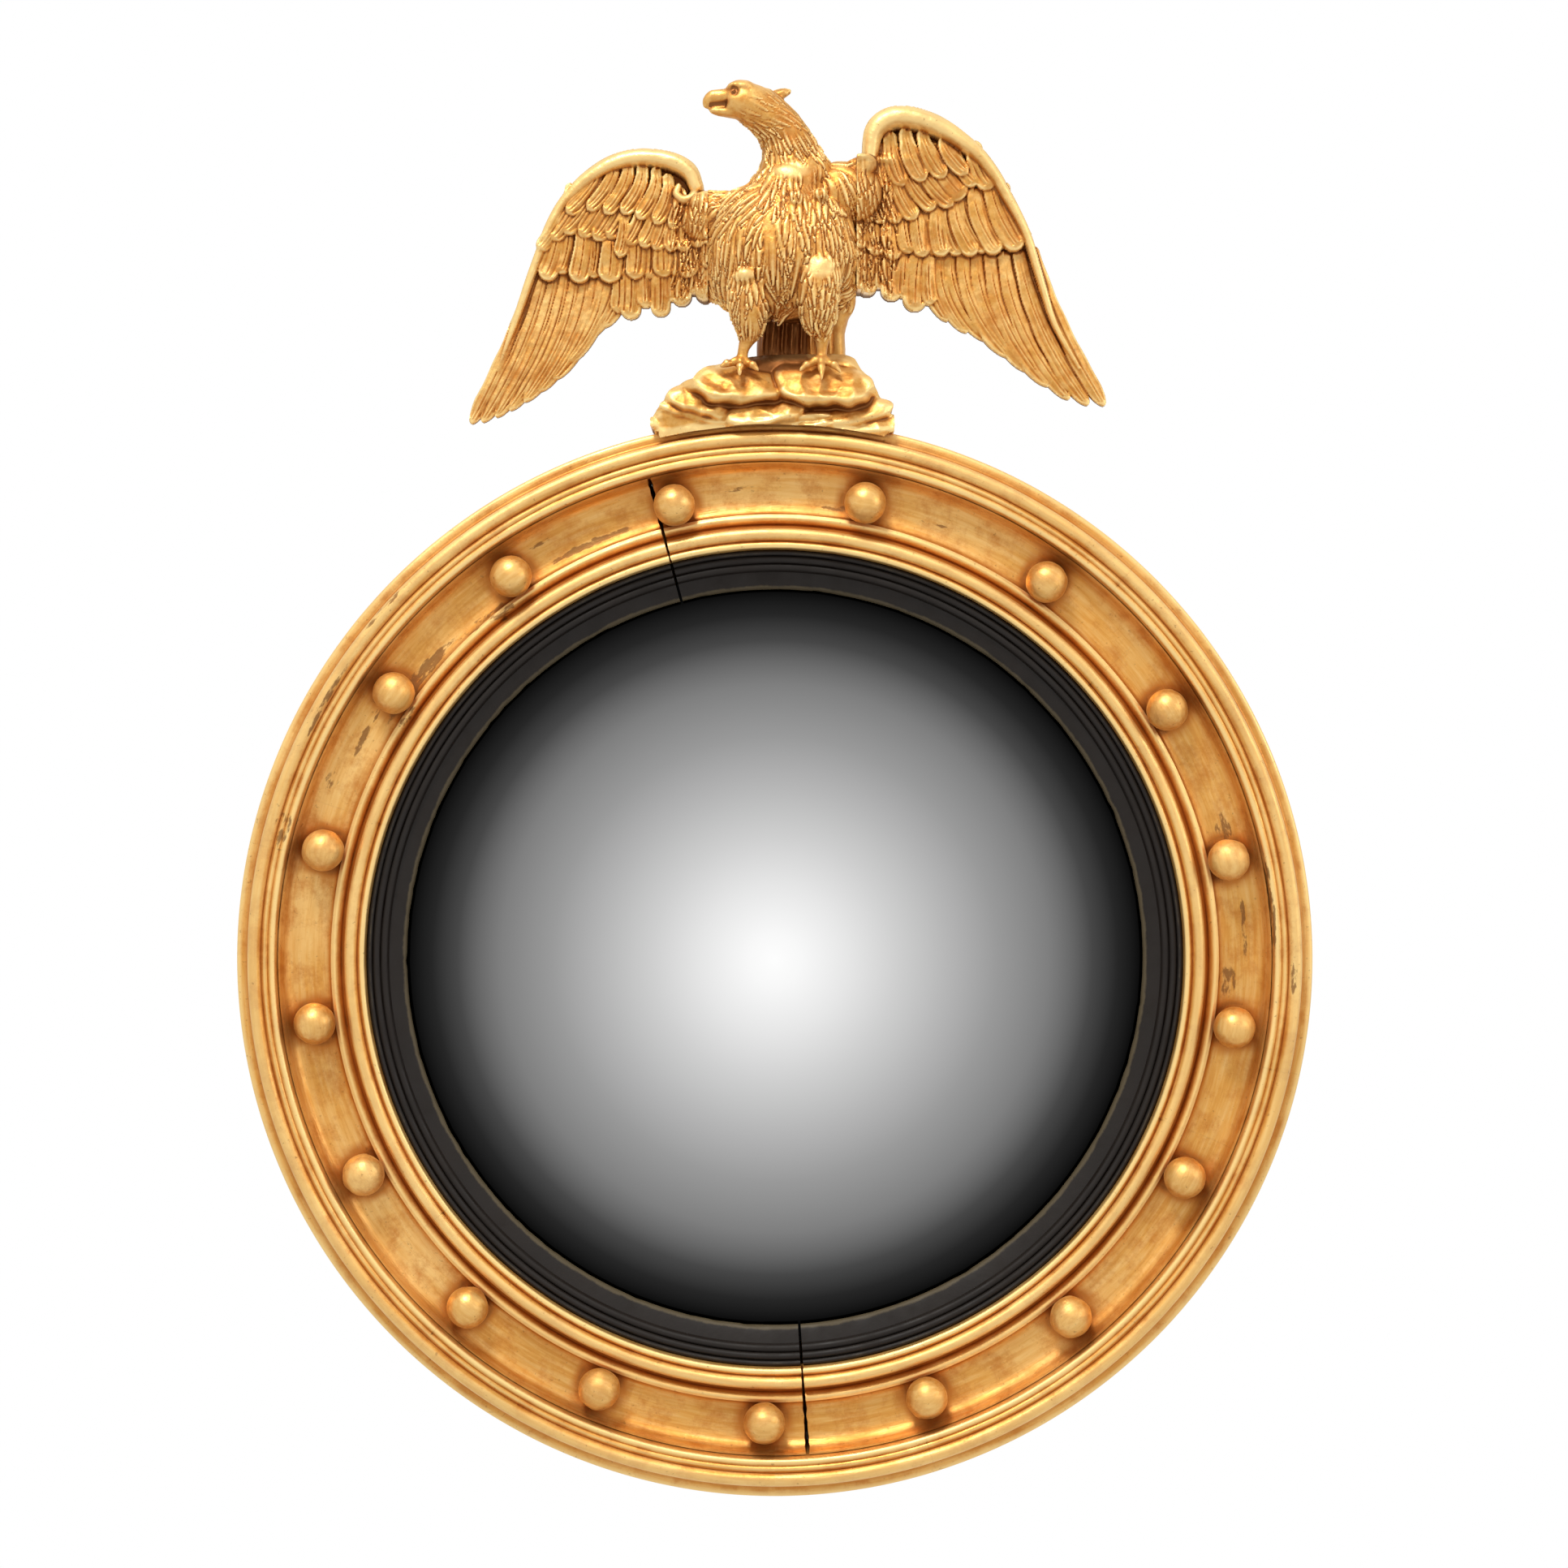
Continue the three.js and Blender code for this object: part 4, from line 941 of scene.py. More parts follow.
class MIRROR_OT_balls(Operator):
    """Sets a turned ball on each peg in the hollow"""
    bl_idname = "mirror.balls"
    bl_label = "Balls"

    def execute(self, context):
        radius, peg_radius, peg_rise = context.scene.mirror_sizes.ball_radius / MM, 4.4, 0.6
        for number, node in enumerate(BALLS):
            x, z = middle_of(node)
            middle = -low(node)[1] - radius
            foot = middle - radius
            round_part = arc(0, middle, radius, 90, -72, 30)[1:]
            profile = [(0, middle + radius)] + [(max(r, 0), d) for r, d in round_part]
            profile += [(peg_radius, foot + peg_rise), (0, foot + peg_rise)]
            corners, faces = turned_whole(profile, 48)
            dents = soft_noise(corners + number * 40, 10, 20 + number)
            corners += 0.22 * dents[:, None] * np.array([1, 0.5, 1])
            corners += [x, 0, z]
            piece = add_piece("fine_" + node, corners, faces, [node])
            face_outwards(piece)
            depth = -corners[:, 1] - foot
            # Painted shade darkens each ball towards its foot, and a painted highlight lightens its front.
            keep_number(piece, "hollow", np.clip(1.1 - depth / 13, 0, 0.9))
            keep_number(piece, "raised", np.clip(depth / 22 - 0.5, 0, 1) * 0.5)
            keep_number(piece, "wear", 0.3 + 0.25 * soft_noise(corners, 9, number + 60))
            smooth(piece, 60)
            finish(piece, gold("gilding"))
        return {"FINISHED"}


class MIRROR_OT_plate(Operator):
    """Blows the convex silvered plate"""
    bl_idname = "mirror.plate"
    bl_label = "Plate"

    def execute(self, context):
        radii = np.linspace(0, PLATE_RADIUS, 48)
        edge_drop = math.sqrt(PLATE_CURVE**2 - PLATE_RADIUS**2)
        face = [(r, PLATE_EDGE + math.sqrt(PLATE_CURVE**2 - r**2) - edge_drop) for r in radii]
        profile = face + [(r, height - GLASS_THICKNESS) for r, height in reversed(face)]
        corners, faces = turned_whole(profile, 180)
        piece = add_piece("fine_mirror_plate", corners, faces, ["mirror_plate"])
        face_outwards(piece)
        smooth(piece, 40)
        finish(piece, silvering())
        return {"FINISHED"}


# ---- Crest ----

# A feather: root x and z, tip x and z, half width, and how far its middle bows sideways.
LEFT_FLIGHT = [
    (-139, 92, -177.5, 1, 4.4, 3), (-134, 90, -171, 2, 4.8, 5), (-128, 89, -163, 5, 5, 6),
    (-122, 88, -155, 9, 5, 6.5), (-116, 87, -146.5, 14, 5, 6.5), (-110, 86, -138, 20, 5, 6),
    (-105, 85, -129.5, 27, 5, 6), (-100, 84, -121.5, 36.5, 5.2, 5), (-95, 83, -110.5, 50.5, 5.8, 3),
    (-90, 83, -100.5, 57.5, 5.4, 2),
]
LEFT_INNER = [
    (-91, 88, -92, 65.5, 4.8, 1), (-84, 92, -85, 62, 6, 1), (-76, 92, -75.5, 68.5, 5, 0),
    (-67, 94, -67, 63.5, 5.8, 0.5), (-60, 94, -60, 72, 4.6, 0), (-54, 96, -54.5, 69.5, 5.8, 0),
    (-47, 96, -47, 75.5, 4.6, 0), (-40, 96, -39.5, 71, 7, 0),
]
LEFT_MIDDLE_UNDER = [
    (-120, 114, -125.5, 88, 4.6, 1.5), (-104, 114, -106.5, 85.5, 5, 1), (-88, 114, -89.5, 86, 4.8, 1),
    (-72, 114, -73, 85, 4.8, 0.5), (-57, 114, -57, 86, 5, 0), (-44, 112, -44, 88, 4.6, 0),
]
LEFT_MIDDLE = [
    (-126, 118, -134.5, 84, 5.6, 2), (-111, 118, -115.5, 82.5, 6, 1.5), (-95, 108, -97, 82.5, 6.8, 0.5),
    (-81, 114, -82, 84.5, 5.8, 1), (-65, 113, -64.5, 85.5, 6.2, 0), (-50, 113, -50, 84, 5.8, 0),
    (-37, 113, -37, 87, 5.2, 0),
]
LEFT_UPPER = [
    (-119, 137, -137.5, 101, 4.2, 3), (-112, 140, -130, 107, 4.6, 3), (-104, 143, -123, 111, 5, 4),
    (-97, 144, -113.5, 109, 5.2, 4), (-90, 145, -105, 107, 5.4, 4), (-83, 142, -97.5, 108, 5, 3.5),
    (-88, 120, -91, 97, 4, 1.5), (-76, 138, -86, 104, 5, 3.5), (-70, 130, -78, 103, 4.8, 3),
    (-63, 128, -70, 101, 4.8, 2), (-57, 126, -61.5, 100, 5, 1), (-50, 124, -53, 99, 5, 0),
    (-43, 122, -44, 100, 5, 0), (-36, 120, -36, 99, 4.8, 0),
]
LEFT_SMALL = [
    (-101, 149, -121, 122, 4.2, 3), (-93, 150, -109, 124, 4.4, 3.5), (-85, 150, -99, 122, 4.4, 3.5),
    (-77, 149, -89, 122, 4.4, 3.5), (-69, 146, -80, 119, 4.4, 3.5), (-62, 142, -70, 116, 4.6, 3),
    (-55, 134, -60.5, 113, 4.6, 2), (-47, 131, -51, 110, 4.8, 1), (-40, 128, -42, 110, 4.8, 0),
]
RIGHT_FLIGHT = [
    (151, 101, 192.5, 11.5, 4.8, -4), (143, 99, 183, 12, 5.4, -7), (134, 98, 172, 15.5, 5.4, -8),
    (126, 98, 160, 23, 5.4, -8), (118, 98, 148.5, 31.5, 5.4, -7.5), (110, 98, 137, 40, 5.4, -7),
    (103, 97, 124.5, 49.5, 5.6, -6), (97, 97, 112.5, 54.5, 5.6, -5), (92, 96, 101, 61, 5.4, -4),
]
RIGHT_INNER = [
    (90, 97, 91, 70, 4.4, -1), (84, 99, 82, 66.5, 6.8, -1), (76, 98, 75, 74, 4.8, 0),
    (68, 99, 68, 72.5, 6.4, 0), (60, 100, 60, 79, 4.8, 0), (54, 100, 53.5, 75, 6, 0),
    (48, 99, 47.5, 76, 5, 0),
]
RIGHT_MIDDLE_UNDER = [
    (134, 138, 148, 106, 4.4, -3), (121, 136, 137, 104, 5, -3), (110, 132, 124, 101, 4.8, -3),
    (100, 126, 108, 99, 5, -2), (90, 124, 93, 99, 5, -1), (70, 121, 75, 98, 4.8, -1),
    (60, 121, 65, 98, 4.8, -1),
]
RIGHT_MIDDLE = [
    (126, 139, 143, 102, 6.6, -3), (116, 134, 130.5, 100, 5.8, -3), (105, 128, 117, 99, 5.4, -3),
    (95, 125, 98.5, 98, 5.8, -1.5), (83, 123, 87, 97.5, 5.4, -1), (75, 122, 79, 99.5, 5.4, -1),
    (66, 121, 70, 95.5, 5.4, -1), (56, 120, 59, 97, 5.2, -0.5), (48, 120, 49, 99, 4.8, 0),
]
RIGHT_UPPER = [
    (116, 160, 126.5, 137, 6.4, -2), (104, 160, 117.5, 139, 4.8, -2.5), (92, 158, 110, 131.5, 8.2, -2),
    (84, 152, 103.5, 127, 5, -3), (76, 150, 93, 125, 5.2, -3), (69, 148, 82, 119, 5.2, -2.5),
    (63, 146, 72, 117, 5.2, -2), (57, 143, 63, 116, 5.2, -1.5), (51, 140, 55, 116, 5, -1),
    (46, 138, 48, 117, 4.8, 0),
]
RIGHT_SMALL = [
    (98, 163, 112, 145, 4.8, -2), (86, 167, 99, 143, 5.4, -2), (76, 168, 87, 141, 5.8, -2),
    (67, 166, 75, 138, 5.6, -2), (61, 160, 65, 134, 5.2, -1.5), (55, 153, 57, 130, 5, -1),
    (49, 148, 49, 129, 4.8, 0),
]
# Lowest layer first: feathers, depth off the wall at root and tip, fullness, and the length of the
# rounded tip in half widths.
LEFT_LAYERS = [
    (LEFT_FLIGHT, (19.5, 16.5), 1.7, 3.4), (LEFT_INNER, (21.5, 18), 2.0, 1.1),
    (LEFT_MIDDLE_UNDER, (23, 20), 1.8, 1.1), (LEFT_MIDDLE, (24.2, 21.6), 2.0, 1.1),
    (LEFT_UPPER, (26.6, 24), 1.7, 1.5), (LEFT_SMALL, (28.6, 26.4), 1.5, 1.6),
]
RIGHT_LAYERS = [
    (RIGHT_FLIGHT, (19.5, 16.5), 1.7, 3.4), (RIGHT_INNER, (21.5, 18), 2.0, 1.1),
    (RIGHT_MIDDLE_UNDER, (23, 20), 1.8, 1.1), (RIGHT_MIDDLE, (24.2, 21.6), 2.0, 1.1),
    (RIGHT_UPPER, (26.6, 24), 1.9, 1.2), (RIGHT_SMALL, (28.6, 26.4), 1.6, 1.5),
]
# The rolled leading edge: x, z and half width.
LEFT_ROLL = [
    (-45.5, 137, 4.2), (-49.5, 145.8, 4.8), (-58, 151.3, 5), (-70, 154, 5), (-82, 154, 5), (-94, 151, 4.8),
    (-105, 145, 4.4), (-115.5, 136.5, 3.8), (-124.5, 126, 3.3), (-131.5, 113.5, 3), (-137, 99.5, 2.7),
    (-142.8, 84.5, 2.4), (-148, 69.5, 2.2), (-152.3, 57.5, 2), (-157, 45, 1.6), (-162, 32, 1.2),
]
LEFT_CURL = [(-45, 138, 3.2), (-47, 131.5, 2.9), (-52.5, 129.3, 2.6), (-57, 132.8, 2.2), (-55.8, 137.5, 1.6)]
RIGHT_ROLL = [
    (55, 151, 4.4), (55.8, 160, 5), (57.2, 168, 5.7), (61.5, 173.7, 6.2), (69, 177.3, 6.4),
    (78, 177.4, 6.4), (88, 175, 6.2), (98, 170.6, 5.8), (108.5, 164, 5), (118, 156.3, 4.4),
    (127, 145.5, 3.8), (135, 132.5, 3.3), (143.5, 117, 2.8), (148.3, 105.5, 2.6), (152.5, 92, 2.4),
    (156.8, 78, 2.2), (162.3, 61, 2), (169.5, 47, 1.8), (177.5, 33.5, 1.5),
]
# Shoulders that carry the body's swell on to the wing: x, z, depth, half width, half height, fullness, tilt.
LEFT_SHOULDER = [(-34, 119, 24, 20, 15, 15, 20), (-42, 128.5, 26, 8, 5, 11, 20)]
RIGHT_SHOULDER = [(42, 133, 24, 21, 19, 17, 30), (50, 147, 29, 9.5, 6.2, 12, 24)]


class Relief:
    """A carved relief over a grid in the plane of the wall: its height off the wall and its outline."""

    def __init__(self, lowest, highest, step):
        xs = np.arange(lowest[0], highest[0] + step, step)
        zs = np.arange(lowest[1], highest[1] + step, step)
        self.step = step
        self.x, self.z = np.meshgrid(xs, zs, indexing="ij")
        self.height = np.full(self.x.shape, -1.0)
        self.inside = np.full(self.x.shape, -9.0)
        self.painted_sheen = np.zeros(self.x.shape)

    def window(self, points, reach):
        """The part of the grid within reach of some points."""
        lowest, highest = points.min(0) - reach, points.max(0) + reach
        i = slice(*np.searchsorted(self.x[:, 0], [lowest[0], highest[0]]))
        j = slice(*np.searchsorted(self.z[0], [lowest[1], highest[1]]))
        return i, j

    def to_line(self, line, i, j):
        """How far along a line each grid point lies, from 0 to 1, how far to its side, and its length."""
        x, z = self.x[i, j], self.z[i, j]
        run = np.concatenate([[0], np.cumsum(np.linalg.norm(np.diff(line, axis=0), axis=1))])
        nearest = np.full(x.shape, 1e9)
        part, aside = np.zeros(x.shape), np.zeros(x.shape)
        for (ax, az), (bx, bz), start, end in zip(line, line[1:], run, run[1:]):
            ux, uz = (bx - ax) / (end - start), (bz - az) / (end - start)
            along = np.clip((x - ax) * ux + (z - az) * uz, 0, end - start)
            away = np.hypot(x - ax - along * ux, z - az - along * uz)
            closer = away < nearest
            nearest = np.where(closer, away, nearest)
            side = np.sign((x - ax) * uz - (z - az) * ux)
            aside = np.where(closer, away * side, aside)
            part = np.where(closer, (start + along) / run[-1], part)
        return part, aside, run[-1]

    def raise_to(self, i, j, height, inside):
        """Lets a form stand wherever it lies within its outline and above what is there."""
        there = (inside > 0) & (height > self.height[i, j])
        self.height[i, j] = np.where(there, height, self.height[i, j])
        self.inside[i, j] = np.maximum(self.inside[i, j], inside)

    def web(self, outline, height):
        """A flat ground under the feathers inside a closed outline."""
        x, z = self.x, self.z
        crossings = np.zeros(x.shape, int)
        away = np.full(x.shape, 1e9)
        for (ax, az), (bx, bz) in zip(outline, outline[1:] + outline[:1]):
            length = math.hypot(bx - ax, bz - az)
            along = np.clip(((x - ax) * (bx - ax) + (z - az) * (bz - az)) / length**2, 0, 1)
            away = np.minimum(away, np.hypot(x - ax - along * (bx - ax), z - az - along * (bz - az)))
            if az != bz:
                crossings += ((az > z) != (bz > z)) & (x < (bx - ax) * (z - az) / (bz - az) + ax)
        inside = np.where(crossings % 2 == 1, away, -away)
        self.raise_to(slice(None), slice(None), np.full(x.shape, float(height)), inside)

    def feather(self, form, depths, crown, point, rng):
        """A leaf with a doubled quill and gouged barbs, full at its tip.

        The tip is rounded over a length of point half widths, so a point of 3 or more draws it out.
        """
        root_x, root_z, tip_x, tip_z, half, bow = form
        drawn_out = point >= 3
        ts = np.linspace(0, 1, 14)
        sag = 4 * ts * (1 - ts) * bow
        line = np.stack([root_x + (tip_x - root_x) * ts + sag, root_z + (tip_z - root_z) * ts], 1)
        i, j = self.window(line, half + 1)
        part, aside, length = self.to_line(line, i, j)
        # The outline: narrow at the root, rounded off at the tip and a little wavy.
        round_from = 1 - min(0.6, point * half / length)
        past = np.clip((part - round_from) / (1 - round_from), 0, 1)
        shape = 0.74 + 0.3 * np.sin(np.pi / 2 * np.clip(part / round_from, 0, 1))
        width = half * shape * np.sqrt(np.clip(1 - past ** (1.7 if drawn_out else 2.3), 0, 1))
        width += 0.2 * np.sin(part * length / 4 + rng.uniform(0, 6)) * (1 - past)
        # The face: crowned, full before the tip, with a grooved quill between two beads.
        side = np.clip(aside / np.maximum(width, 1e-3), -1, 1)
        body = 0.78 * crown * np.sqrt(1 - side**2) * (0.75 + 0.25 * part)
        from_tip = ((part - 1) * length + 0.55 * half) / (0.5 * half)
        spoon = (0.2 if drawn_out else 0.7) * np.exp(-(from_tip**2))
        shaft = (part < 1 - 0.6 * half / length) * np.clip(part * 6, 0, 1)
        quill = 0.4 * np.exp(-(((np.abs(aside) - 0.85) / 0.45) ** 2)) - 0.45 * np.exp(-((aside / 0.4) ** 2))
        # Gouge cuts slant away from the quill, two to a side.
        barbs = np.zeros(part.shape)
        for hand in (-1, 1):
            for _ in range(2):
                where, slant, start = rng.uniform(0.35, 0.75), rng.uniform(-0.1, 0.35), rng.uniform(0.1, 0.5)
                cut = (side - hand * (where + slant * (0.6 - part))) * half
                barbs -= 0.4 * np.exp(-((cut / 0.5) ** 2)) * np.clip((part - start) * 8, 0, 1)
        # Each feather lies with one edge up and its root sunk under the row above.
        lap = rng.uniform(-0.3, 0.3)
        shingled = 0.75 * side * (1 - past)
        height = depths[0] + (depths[1] - depths[0]) * part + body + shingled + spoon + lap
        wavy = 0.12 * np.sin(part * length / 4 + 9 * lap)
        height += (quill + barbs) * shaft - 1.5 * (1 - part) ** 3 + wavy
        self.raise_to(i, j, height, width - np.abs(aside))

    def roll(self, line, depths, fullness=1.25):
        """A rounded bead along a line of x, z and half width, with a painted sheen along the crown of its
        first part.
        """
        line = np.array(eased(line, 1.5))
        i, j = self.window(line[:, :2], line[:, 2].max() + 1)
        part, aside, _ = self.to_line(line[:, :2], i, j)
        width = np.interp(part, np.linspace(0, 1, len(line)), line[:, 2])
        body = width * fullness * np.sqrt(np.clip(1 - (aside / width) ** 2, 0, 1))
        rubbed_and_sheen = eased_step(0.55 - part, 0, 0.3) * np.clip(1.6 - 1.9 * np.abs(aside / width), 0, 1)
        self.painted_sheen[i, j] = np.maximum(self.painted_sheen[i, j], rubbed_and_sheen * (np.abs(aside) < width))
        self.raise_to(i, j, depths[0] + (depths[1] - depths[0]) * part + body, width - np.abs(aside))

    def swell(self, x, z, depth, half_width, half_height, fullness, tilt):
        """A rounded mass that grows out of the relief."""
        a = math.radians(tilt)
        gx, gz = self.x - x, self.z - z
        across = (gx * math.cos(a) + gz * math.sin(a)) / half_width
        upright = (gz * math.cos(a) - gx * math.sin(a)) / half_height
        reach = across**2 + upright**2
        mass = depth + fullness * np.sqrt(np.clip(1 - reach, 0, 1)) - 30 * np.clip(reach - 1, 0, 9)
        blended = (self.height + mass + np.sqrt((self.height - mass) ** 2 + 12)) / 2
        near = np.clip(1 - np.sqrt(reach), -1, 1) * min(half_width, half_height)
        carved = np.where(near > 0, mass, self.height)
        self.height = np.where((reach < 1.3) & (self.inside > 0), blended, carved)
        self.inside = np.maximum(self.inside, near)

    def tufts(self, count, area, lean, rng):
        """Short shaggy strokes at about one lean in degrees, the upper ones laid over the lower."""
        (low_x, low_z), (high_x, high_z) = area
        spots = np.stack([rng.uniform(low_x, high_x, count), rng.uniform(low_z, high_z, count)], 1)
        base = self.height.copy()
        for x, z in spots[np.argsort(spots[:, 1])]:
            length, half = rng.uniform(12, 22), rng.uniform(1.2, 2.2)
            angle = math.radians(lean + rng.uniform(-8, 8))
            ux, uz = math.sin(angle), -math.cos(angle)
            i, j = self.window(np.array([[x, z], [x + ux * length, z + uz * length]]), 4)
            gx, gz = self.x[i, j] - x, self.z[i, j] - z
            along, aside = (gx * ux + gz * uz) / length, gx * uz - gz * ux
            lift = leaf_lift(along, aside, half)
            there = (self.inside[i, j] > 1.5) & np.isfinite(lift)
            old = self.height[i, j] - base[i, j]
            self.height[i, j] = np.where(there, base[i, j] + lay_over(old, lift), self.height[i, j])

    def noise(self, size, seed, octaves=3):
        """Smooth noise over the grid."""
        spots = np.stack([self.x, self.z, 0 * self.x], -1).reshape(-1, 3)
        return soft_noise(spots, size, seed, octaves).reshape(self.x.shape)

    def relief_marks(self, ground):
        """How hollow and how raised each grid point is, from blurred copies of the height, for painted shade
        and a painted highlight, with the painted sheen added to the raised.
        """
        solid = np.where(self.inside > 0, self.height, ground)
        fine, broad = blurred(solid, 1.0 / self.step), blurred(solid, 3.4 / self.step)
        hollow = np.clip((fine - solid) / 0.5 + 0.45 * (broad - solid) / 1.6 - 0.14, 0, 1)
        raised = np.clip((solid - fine) / 0.9 + 0.35 * (solid - broad) / 2 - 0.18, 0, 1)
        return hollow, np.maximum(raised, 0.85 * self.painted_sheen)

    def solid(self, back):
        """The relief down to its back, its outline drawn smooth: corners, faces and the grid points used.

        A back that is one number makes one flat face, and a back given over the grid keeps every point.
        """
        stepped = np.ndim(back) > 0
        back = np.broadcast_to(back, self.height.shape)
        keep = (self.inside > 0) & (self.height > back)
        slope = np.stack(np.gradient(self.inside, self.step), -1)
        slope /= np.maximum(np.linalg.norm(slope, axis=-1, keepdims=True), 1e-6)
        cells = keep[:-1, :-1] & keep[1:, :-1] & keep[1:, 1:] & keep[:-1, 1:]
        used = np.zeros(keep.shape, int)
        for di, dj in ((0, 0), (1, 0), (1, 1), (0, 1)):
            used[di:used.shape[0] - 1 + di, dj:used.shape[1] - 1 + dj] += cells
        there = used > 0
        border = there & (used < 4)
        shift = np.where(border[..., None], -slope * np.clip(self.inside, 0, self.step)[..., None], 0)
        x, z = self.x + shift[..., 0], self.z + shift[..., 1]
        count = int(there.sum())
        index = np.full(keep.shape, -1)
        index[there] = np.arange(count)
        front = np.stack([x[there], -self.height[there], z[there]], 1)
        a, b = index[:-1, :-1][cells], index[1:, :-1][cells]
        c, d = index[1:, 1:][cells], index[:-1, 1:][cells]
        sides = np.concatenate([np.stack(pair, 1) for pair in ((a, b), (b, c), (c, d), (d, a))])
        rim = sides[~np.isin(sides[:, 0] * count + sides[:, 1], sides[:, 1] * count + sides[:, 0])]
        edge, place = np.unique(rim, return_inverse=True)
        edge = np.arange(count) if stepped else edge
        rim_back = (rim if stepped else place.reshape(rim.shape)) + count
        rear = np.stack([x[there][edge], -back[there][edge], z[there][edge]], 1)
        faces = np.stack([a, b, c, d], 1).tolist()
        faces += np.stack([rim[:, 1], rim[:, 0], rim_back[:, 0], rim_back[:, 1]], 1).tolist()
        faces += (np.stack([d, c, b, a], 1) + count).tolist() if stepped else closed_loops(rim_back)
        return np.vstack([front, rear]), faces, there


def closed_loops(pairs):
    """The polygons that a set of directed edges closes."""
    onward = dict(pairs.tolist())
    loops = []
    while onward:
        start, here = onward.popitem()
        loop = [start]
        while here != start:
            loop.append(here)
            here = onward.pop(here)
        loops.append(loop[::-1])
    return loops


def blurred(grid, width):
    """A grid smoothed over a width in cells."""
    half = max(1, round(width))
    for axis in (0, 1):
        for _ in range(2):
            padded = np.moveaxis(grid, axis, 0)
            padded = np.concatenate([padded[:1].repeat(half + 1, 0), padded, padded[-1:].repeat(half, 0)])
            total = np.cumsum(padded, 0)
            grid = np.moveaxis((total[2 * half + 1:] - total[:-2 * half - 1]) / (2 * half + 1), 0, axis)
    return grid


def leaf_lift(along, aside, half):
    """The height of one tuft: ridged down its middle, rising to a pointed tip, with a cut round it.

    Along runs from 0 at its root to 1, and it is not a number where the tuft doesn't reach.
    """
    drawn_in = np.clip((along - 0.45) / 0.6, 0, 1)
    taper = half * (1.15 - 0.1 * np.clip(along, 0, 1)) * np.clip(1 - drawn_in**2.2, 0, 1) ** 0.75
    edge = taper - np.abs(aside)
    across = np.clip(np.abs(aside) / np.maximum(taper, 0.3), 0, 1)
    leaf = 0.95 * np.clip(along + 0.05, 0, 1) ** 0.7 * (1 - across**1.6) + 0.12
    cut = -0.55 * np.exp(-((edge / 0.55) ** 2)) * np.clip(2 * along, 0, 1)
    near = (along > -0.05) & (along < 1.1)
    return np.where(near & (edge > 0), leaf, np.where(near & (edge > -1.0), cut, np.nan))


def lay_over(old, lift):
    """A new tuft over what lies there: its leaf covers, its cut only deepens."""
    return np.where(lift > 0, lift, np.minimum(old, lift))


def body_depth_at(joint):
    """How far the carved body stands off the wall where a wing joins it, by height."""
    corners = corners_of(bpy.data.objects["carved_eagle_body"]) - CREST_STEP
    near = corners[np.abs(corners[:, 0] - joint) < 1.5]
    levels = np.arange(70, 158, 2.0)
    depths = [-near[np.abs(near[:, 2] - level) < 1.5, 1].min(initial=0) for level in levels]
    kept = np.array(depths) > 15
    return levels[kept], np.array(depths)[kept] - 0.5


def wing_ground(layers, roll, joint, hand):
    """A relief with a flat web under one wing's feathers, to be carved on."""
    longest = layers[0][0] + layers[1][0]
    roots, tips = (np.array([form[at:at + 2] for form in longest]) for at in (0, 2))
    outline = np.vstack([tips, roll])
    relief = Relief(outline.min(0) - 9, outline.max(0) + 9, GRID)
    inner = joint - 3 * hand
    ground = [(inner, roll[0][1] - 2)] + roll.tolist() + (tips * 0.9 + roots * 0.1).tolist()
    relief.web(ground + [(inner, tips[-1][1] + 6)], WEB_HEIGHT)
    return relief


def swell_to_body(relief, joint, to_joint):
    """Fills the wing out to the body's height at the joint, fading over the next feathers."""
    levels, depths_there = body_depth_at(joint)
    column = np.abs(relief.x[:, 0] - joint).argmin()
    lacking = np.interp(relief.z[0], levels, depths_there, 0, 0) - relief.height[column]
    lacking = blurred(np.tile(np.clip(lacking, 0, 25), (3, 1)), 3)[1]
    relief.height += lacking * np.exp(-((np.clip(to_joint, 0, None) / 11) ** 1.3))


def carve_wing(node, layers, rolls, shoulders, joint, seed):
    """One wing as a deep relief with a rolled leading edge."""
    rng = np.random.default_rng(seed)
    hand = math.copysign(1, joint)
    relief = wing_ground(layers, np.array(rolls[0])[:, :2], joint, hand)
    for feathers, depths, crown, point in layers:
        for form in feathers:
            relief.feather(form, depths, crown, point, rng)
    for shoulder in shoulders:
        relief.swell(*shoulder)
    # The seam is filled and tufted before the marks are taken, then the wing is trimmed at the joint.
    to_joint = hand * (relief.x - joint)
    swell_to_body(relief, joint, to_joint)
    inner = sorted((joint - 4 * hand, joint + 19 * hand))
    relief.tufts(130, ((inner[0], 84), (inner[1], 140 if hand < 0 else 152)), 7 * hand, rng)
    relief.roll(rolls[0], (29.5, 17.5))
    for line in rolls[1:]:
        relief.roll(line, (30, 30), 1.1)
    relief.height += 0.1 * relief.noise(7, seed)
    hollow, raised = relief.relief_marks(15)
    relief.inside = np.minimum(relief.inside, to_joint)
    corners, faces, there = relief.solid(WING_BACK)
    piece = add_piece("carved_" + node, corners + CREST_STEP, faces, [node])
    in_front, behind = int(there.sum()), len(corners) - int(there.sum())
    keep_number(piece, "hollow", np.concatenate([hollow[there], np.full(behind, 0.35)]))
    keep_number(piece, "raised", np.concatenate([raised[there], np.zeros(behind)]))
    keep_number(piece, "bare", np.concatenate([np.zeros(in_front), np.ones(behind)]))
    finish_carving(piece, seed, 75)


def finish_carving(piece, seed, angle):
    """Patchy wear, shading and gilding for a piece of the crest."""
    patches = soft_noise(corners_of(piece), 30, seed)
    keep_number(piece, "wear", np.clip(0.24 + 0.3 * patches, 0, 0.62))
    smooth(piece, angle)
    finish(piece, gold("carved_gilding"))


